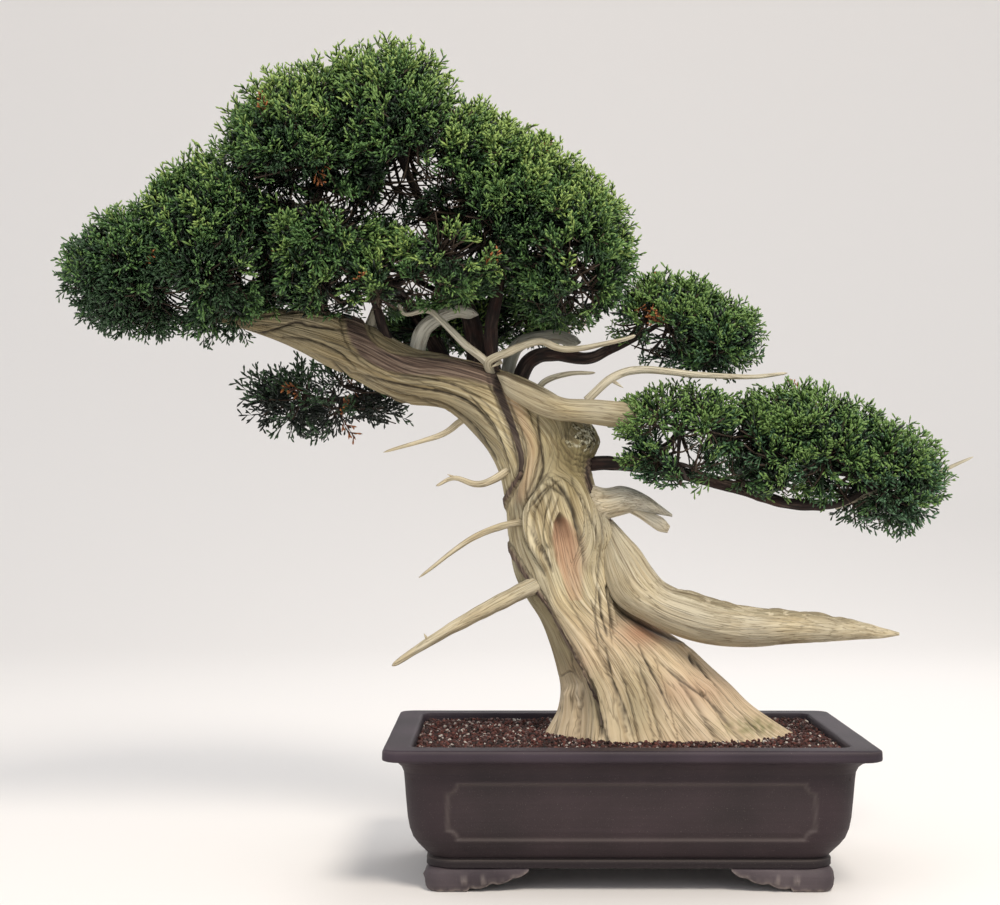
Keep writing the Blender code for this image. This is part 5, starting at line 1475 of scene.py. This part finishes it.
def twigs_of(name, rng):
    """The twigs of a mass, where each starts, bends and ends: the branches into its lobes, their
    branchlets, and the twigs on those, which end in tufts."""
    dense, lobes, (_, _, bough) = MASSES[name]
    tip, before = np.array(bough[-1]), np.array(bough[-2])
    heel = tip - 0.003 * (tip - before) / np.linalg.norm(tip - before)
    first = np.array(lobes[0][0])
    branches, branchlets, twigs = [], [], []
    for order, (middle, half) in enumerate(lobes):
        middle, half = np.array(middle), np.array(half)
        root = heel if order == 0 else first
        far = middle + (middle - heel) * (0.0 if dense else 0.60)
        bend = heel + 0.4 * np.linalg.norm(far - heel) * (tip - before) / np.linalg.norm(tip - before)
        branches.append((root, bend if order == 0 else (root + far) / 2 + (0, 0, 0.008), far))
        area = 4 * math.pi * half.mean() ** 2
        count = round(TUFTS_PER_SQUARE_METRE * area) if dense else TUFTS_A_SPARSE_LOBE
        outward = even_directions(count, rng.uniform(0, 6.28)) * half
        outward += rng.normal(0, 0.010, outward.shape)
        nodes = even_directions(max(4, count // TUFTS_A_BRANCHLET), rng.uniform(0, 6.28)) * half
        nodes = nodes * rng.uniform(0.34, 0.52, (len(nodes), 1)) + rng.normal(0, 0.007, nodes.shape)
        if dense:
            lumps = rough(middle * 30 + outward * 26)
            goals = TUFT_NEARNESS + 0.09 * lumps + rng.uniform(-0.05, 0.05, count)
            reach = spoke_ends(name, middle, outward, goals)
            keep = reach > 0.5
            roots = np.tile(middle, (len(nodes), 1))
        else:
            reach = rng.uniform(0.45, 1.0, count)
            keep = reach > 0
            stretch = far - heel
            share = np.clip((nodes + middle - heel) @ stretch / (stretch @ stretch) - 0.14, 0.04, 0.97)
            roots = curve_at(*[np.tile(point, (len(nodes), 1)) for point in branches[-1]], share)
        ends = middle + outward * reach[:, None]
        nearest = np.argmin(lengths(middle + nodes - ends[:, None]), axis=1)
        starts = (middle + nodes)[nearest]
        bends = (starts + ends) / 2 + rng.normal(0, 0.006, starts.shape) - (0, 0, 0.004)
        keep &= in_own_space(name, ends, 1.05) & (crown_nearness(ends) > LEAST_NEARNESS)
        twigs.append(stacked(starts, bends, ends)[keep])
        used = np.unique(nearest[keep])
        elbows = (roots + middle + nodes) / 2 + rng.normal(0, 0.008, nodes.shape) - (0, 0, 0.006)
        branchlets.append(stacked(roots, elbows, middle + nodes)[used])
    return np.array(branches), np.concatenate(branchlets), np.concatenate(twigs)


def fan_out(twigs, count, low, high, rng):
    """Feet and headings of sprays round each twig between two shares of its length, opening less
    towards its end."""
    total = len(twigs) * count
    which = np.repeat(np.arange(len(twigs)), count)
    order = np.tile(np.arange(count), len(twigs))
    share = low + (high - low) * (order + rng.uniform(0, 1, total)) / count
    starts, bends, ends = twigs[which, 0], twigs[which, 1], twigs[which, 2]
    feet = curve_at(starts, bends, ends, share)
    ahead = curve_at(starts, bends, ends, share + 0.01) - feet
    ahead /= lengths(ahead)[:, None] + 1e-9
    side = np.cross(ahead, (0.0, 0.1, 1.0)) + 1e-6
    side /= lengths(side)[:, None]
    other = np.cross(ahead, side)
    turn = order * 2.4 + which * 1.1 + rng.uniform(-0.4, 0.4, total)
    around = side * np.cos(turn)[:, None] + other * np.sin(turn)[:, None]
    opening = np.radians(68 - 50 * (share - low) / (high - low)) * rng.uniform(0.75, 1.15, total)
    headings = ahead * np.cos(opening)[:, None] + around * np.sin(opening)[:, None]
    headings += (0, 0, LIFT)
    headings /= lengths(headings)[:, None]
    return feet, headings


def leaf_kinds(name, tips, headings, rng):
    """Which colour each spray gets, as painted light and shade: the sunlit and sunny colours on top, to the
    right and outside, the shade colours below, inside and to the left.
    """
    lobe_middle = np.mean([middle for middle, _ in MASSES[name][1]], axis=0)
    tall = max(half[2] for _, half in MASSES[name][1])
    lit = 0.36 * (tips[:, 2] - lobe_middle[2]) / tall + 0.22 * headings[:, 2]
    # Painted light: brighter to the right, darker to the left, and brighter on the crown's outside
    lit += 0.20 * step_between(tips[:, 0], -0.24, -0.04) - 0.34 * step_between(-tips[:, 0], 0.38, 0.54)
    lit += 0.50 * (crown_nearness(tips) - 0.85) / 0.15
    lit += 0.22 * rough(tips * 26) + rng.normal(0, 0.24, len(tips))
    names = list(LEAF_COLOURS)
    kinds = np.full(len(tips), names.index("shade"))
    for least, kind in LIT_KINDS[name in BLUISH_MASSES]:
        kinds[lit > least] = names.index(kind)
    if not MASSES[name][0]:
        # The sparse mass takes only the painted shade colours
        kinds[:] = np.where(lit > 0.45, names.index("shade"), names.index("deep"))
    kinds[rng.uniform(0, 1, len(tips)) < DEAD_SHARE[MASSES[name][0]]] = names.index("dead")
    sprig = np.hypot(tips[:, 0] - DEAD_SPRIG[0], tips[:, 2] - DEAD_SPRIG[1]) < DEAD_SPRIG[2]
    kinds[sprig & (tips[:, 1] < 0)] = names.index("dead")
    return kinds


def make_mass(name, number):
    dense, _, (_, tip_radius, _) = MASSES[name]
    rng = np.random.default_rng(SEED + number)
    branches, branchlets, twigs = twigs_of(name, rng)
    wood = Heap()
    for lines, kind, sizes in ((branches, 0, (tip_radius * 0.97, tip_radius * 0.4, 12, 8)),
                               (branchlets, 0, (0.0030, 0.0017, 5, 5)), (twigs, 1, (0.0016, 0.0008, 4, 3))):
        tubes, triangles = twig_tubes(*lines.transpose(1, 0, 2), *sizes)
        wood.add_copies(tubes, triangles, np.full((len(tubes), len(triangles)), kind))
    leaves = Heap()
    sprays = SPRAYS_A_TUFT if dense else SPRAYS_A_SPARSE_TUFT
    feet, headings = fan_out(twigs, sprays, *SPRAYS_STAND, rng)
    sizes = rng.uniform(0.72, 1.12, len(feet)) * (1.0 if dense else 1.15)
    tips = feet + headings * (SPRAY_LENGTH * sizes)[:, None]
    keep = in_own_space(name, tips, SPRAY_REACH if dense else SPARSE_SPRAY_REACH)
    keep &= clear_of_limbs(feet) & clear_of_limbs((feet + tips) / 2)
    for share in (0.15, 0.5, 0.85):
        keep &= leaves_sky(feet + (tips - feet) * share)
    feet, headings, sizes, tips = feet[keep], headings[keep], sizes[keep], tips[keep]
    kinds = leaf_kinds(name, tips, headings, rng)
    shapes = rng.integers(0, SPRAY_SHAPES, len(feet))
    rolls = rng.uniform(0, math.pi, len(feet))
    for shape_number, shape in enumerate(SPRAYS):
        mine = shapes == shape_number
        points = placed(shape, feet[mine], headings[mine], rolls[mine], sizes[mine])
        leaves.add_copies(points, shape[1], kinds[mine][:, None] * 2 + shape[2][None])
    if dense:
        feet, headings = fan_out(twigs, INNER_SPRAYS_A_TUFT, *INNER_SPRAYS_STAND, rng)
        tips = feet + headings * SPRAY_LENGTH
        keep = in_own_space(name, tips, INNER_SPRAY_REACH) & clear_of_limbs(feet) & clear_of_limbs(tips)
        keep &= leaves_sky(feet) & leaves_sky((feet + tips) / 2) & leaves_sky(tips)
        feet, headings = feet[keep], headings[keep]
        names = list(LEAF_COLOURS)
        # Inner sprays take painted shade: the deep and shade colours
        deep = np.where(rng.uniform(0, 1, len(feet)) < 0.7, names.index("deep"), names.index("shade"))
        points = placed(INNER, feet, headings, rng.uniform(0, math.pi, len(feet)),
                        rng.uniform(0.8, 1.15, len(feet)))
        leaves.add_copies(points, INNER[1], deep[:, None] * 2 + INNER[2][None])
    leaf_mesh, twig_mesh = leaves.mesh("leaves_" + name), wood.mesh("twigs_" + name)
    finish_piece("leaves_" + name, leaf_mesh, LEAVES, "foliage", "foliage_" + name)
    finish_piece("twigs_" + name, twig_mesh, TWIGS, "bark")


def make_camera():
    data = bpy.data.cameras.new("camera")
    data.lens = CAMERA_LENS
    data.sensor_width = 36.0
    data.clip_start, data.clip_end = 0.01, 50.0
    camera = bpy.data.objects.new("camera", data)
    camera.location = POT_MIDDLE + Vector((CAMERA_ASIDE, -CAMERA_AWAY, CAMERA_HEIGHT))
    camera.rotation_euler = (math.radians(90) + CAMERA_DIP, 0, CAMERA_TURN)
    bpy.context.scene.collection.objects.link(camera)
    bpy.context.scene.camera = camera


def make_light(name, place, size, power, colour):
    data = bpy.data.lights.new(name, "AREA")
    data.shape = "DISK"
    data.size = size
    data.energy = power
    data.color = linear(colour)[:3]
    light = bpy.data.objects.new(name, data)
    light.location = place
    aim = Vector(LIGHTS_AIM) - Vector(place)
    light.rotation_euler = aim.to_track_quat("-Z", "Y").to_euler()
    bpy.context.scene.collection.objects.link(light)


def make_stage():
    """A pale paper sweep: a floor that curves up behind, under a soft pale sky."""
    bm = bmesh.new()
    bmesh.ops.create_grid(bm, x_segments=1, y_segments=120, size=0.5)
    for vertex in bm.verts:
        run = (vertex.co.y + 0.5) * (SWEEP_FLAT + SWEEP_BEHIND + 10.0) - SWEEP_FLAT
        turned = max(0.0, min(1.0, (run - SWEEP_BEHIND) / (SWEEP_RADIUS * math.pi / 2))) * math.pi / 2
        rest = max(0.0, run - SWEEP_BEHIND - SWEEP_RADIUS * math.pi / 2)
        vertex.co = (vertex.co.x * 24.0, min(run, SWEEP_BEHIND) + SWEEP_RADIUS * math.sin(turned),
                     SWEEP_RADIUS * (1 - math.cos(turned)) + rest)
    mesh = mesh_from(bm, "floor")
    mesh.materials.append(plain("pale_paper", "efebe7", 0.9))
    floor = bpy.data.objects.new("floor", mesh)
    bpy.context.scene.collection.objects.link(floor)
    world = bpy.data.worlds.new("sky")
    bpy.context.scene.world = world
    world.use_nodes = True
    background = world.node_tree.nodes["Background"]
    background.inputs["Color"].default_value = linear("eceef2")
    background.inputs["Strength"].default_value = 0.86
    for light in LIGHTS:
        make_light(*light)
    bpy.context.scene.view_settings.view_transform = "Standard"


WOOD = bleached_wood()
BARK = juniper_bark()
CLAY = fired_clay()
SOILS = [mineral(*kind) for kind in (
    ("akadama_and_lava", "231210", "502c25"), ("red_lava", "3a1b18", "74443a"),
    ("dark_loam", "17100f", "392925"), ("pumice", "8a8079", "cdc5bb"),
    ("grey_pink_grit", "4f3e3b", "816a65"))]

make_camera()
make_stage()
make_pot()
make_soil()
make_trunk()
make_outlined_limbs()
for number, limb_name in enumerate(DEADWOOD):
    make_dead_limb(limb_name, number)
for number, mass_name in enumerate(MASSES):
    make_bough(mass_name, number)

LEAVES = [plain("scale_leaf_" + kind + part, colour, 0.5)
          for kind, pair in LEAF_COLOURS.items() for part, colour in zip(("_stalk", "_tip"), pair)]
TWIGS = [plain("twig_bark", "2f2521", 0.85), plain("young_twig_bark", "3f3226", 0.8)]
LIMB_LINES = limb_lines()
SPECKS = sky_specks()
shape_rng = random.Random(SEED)
SPRAYS = [spray_shape(shape_rng) for _ in range(SPRAY_SHAPES)]
INNER = inner_shape()
for number, mass_name in enumerate(MASSES):
    make_mass(mass_name, number)
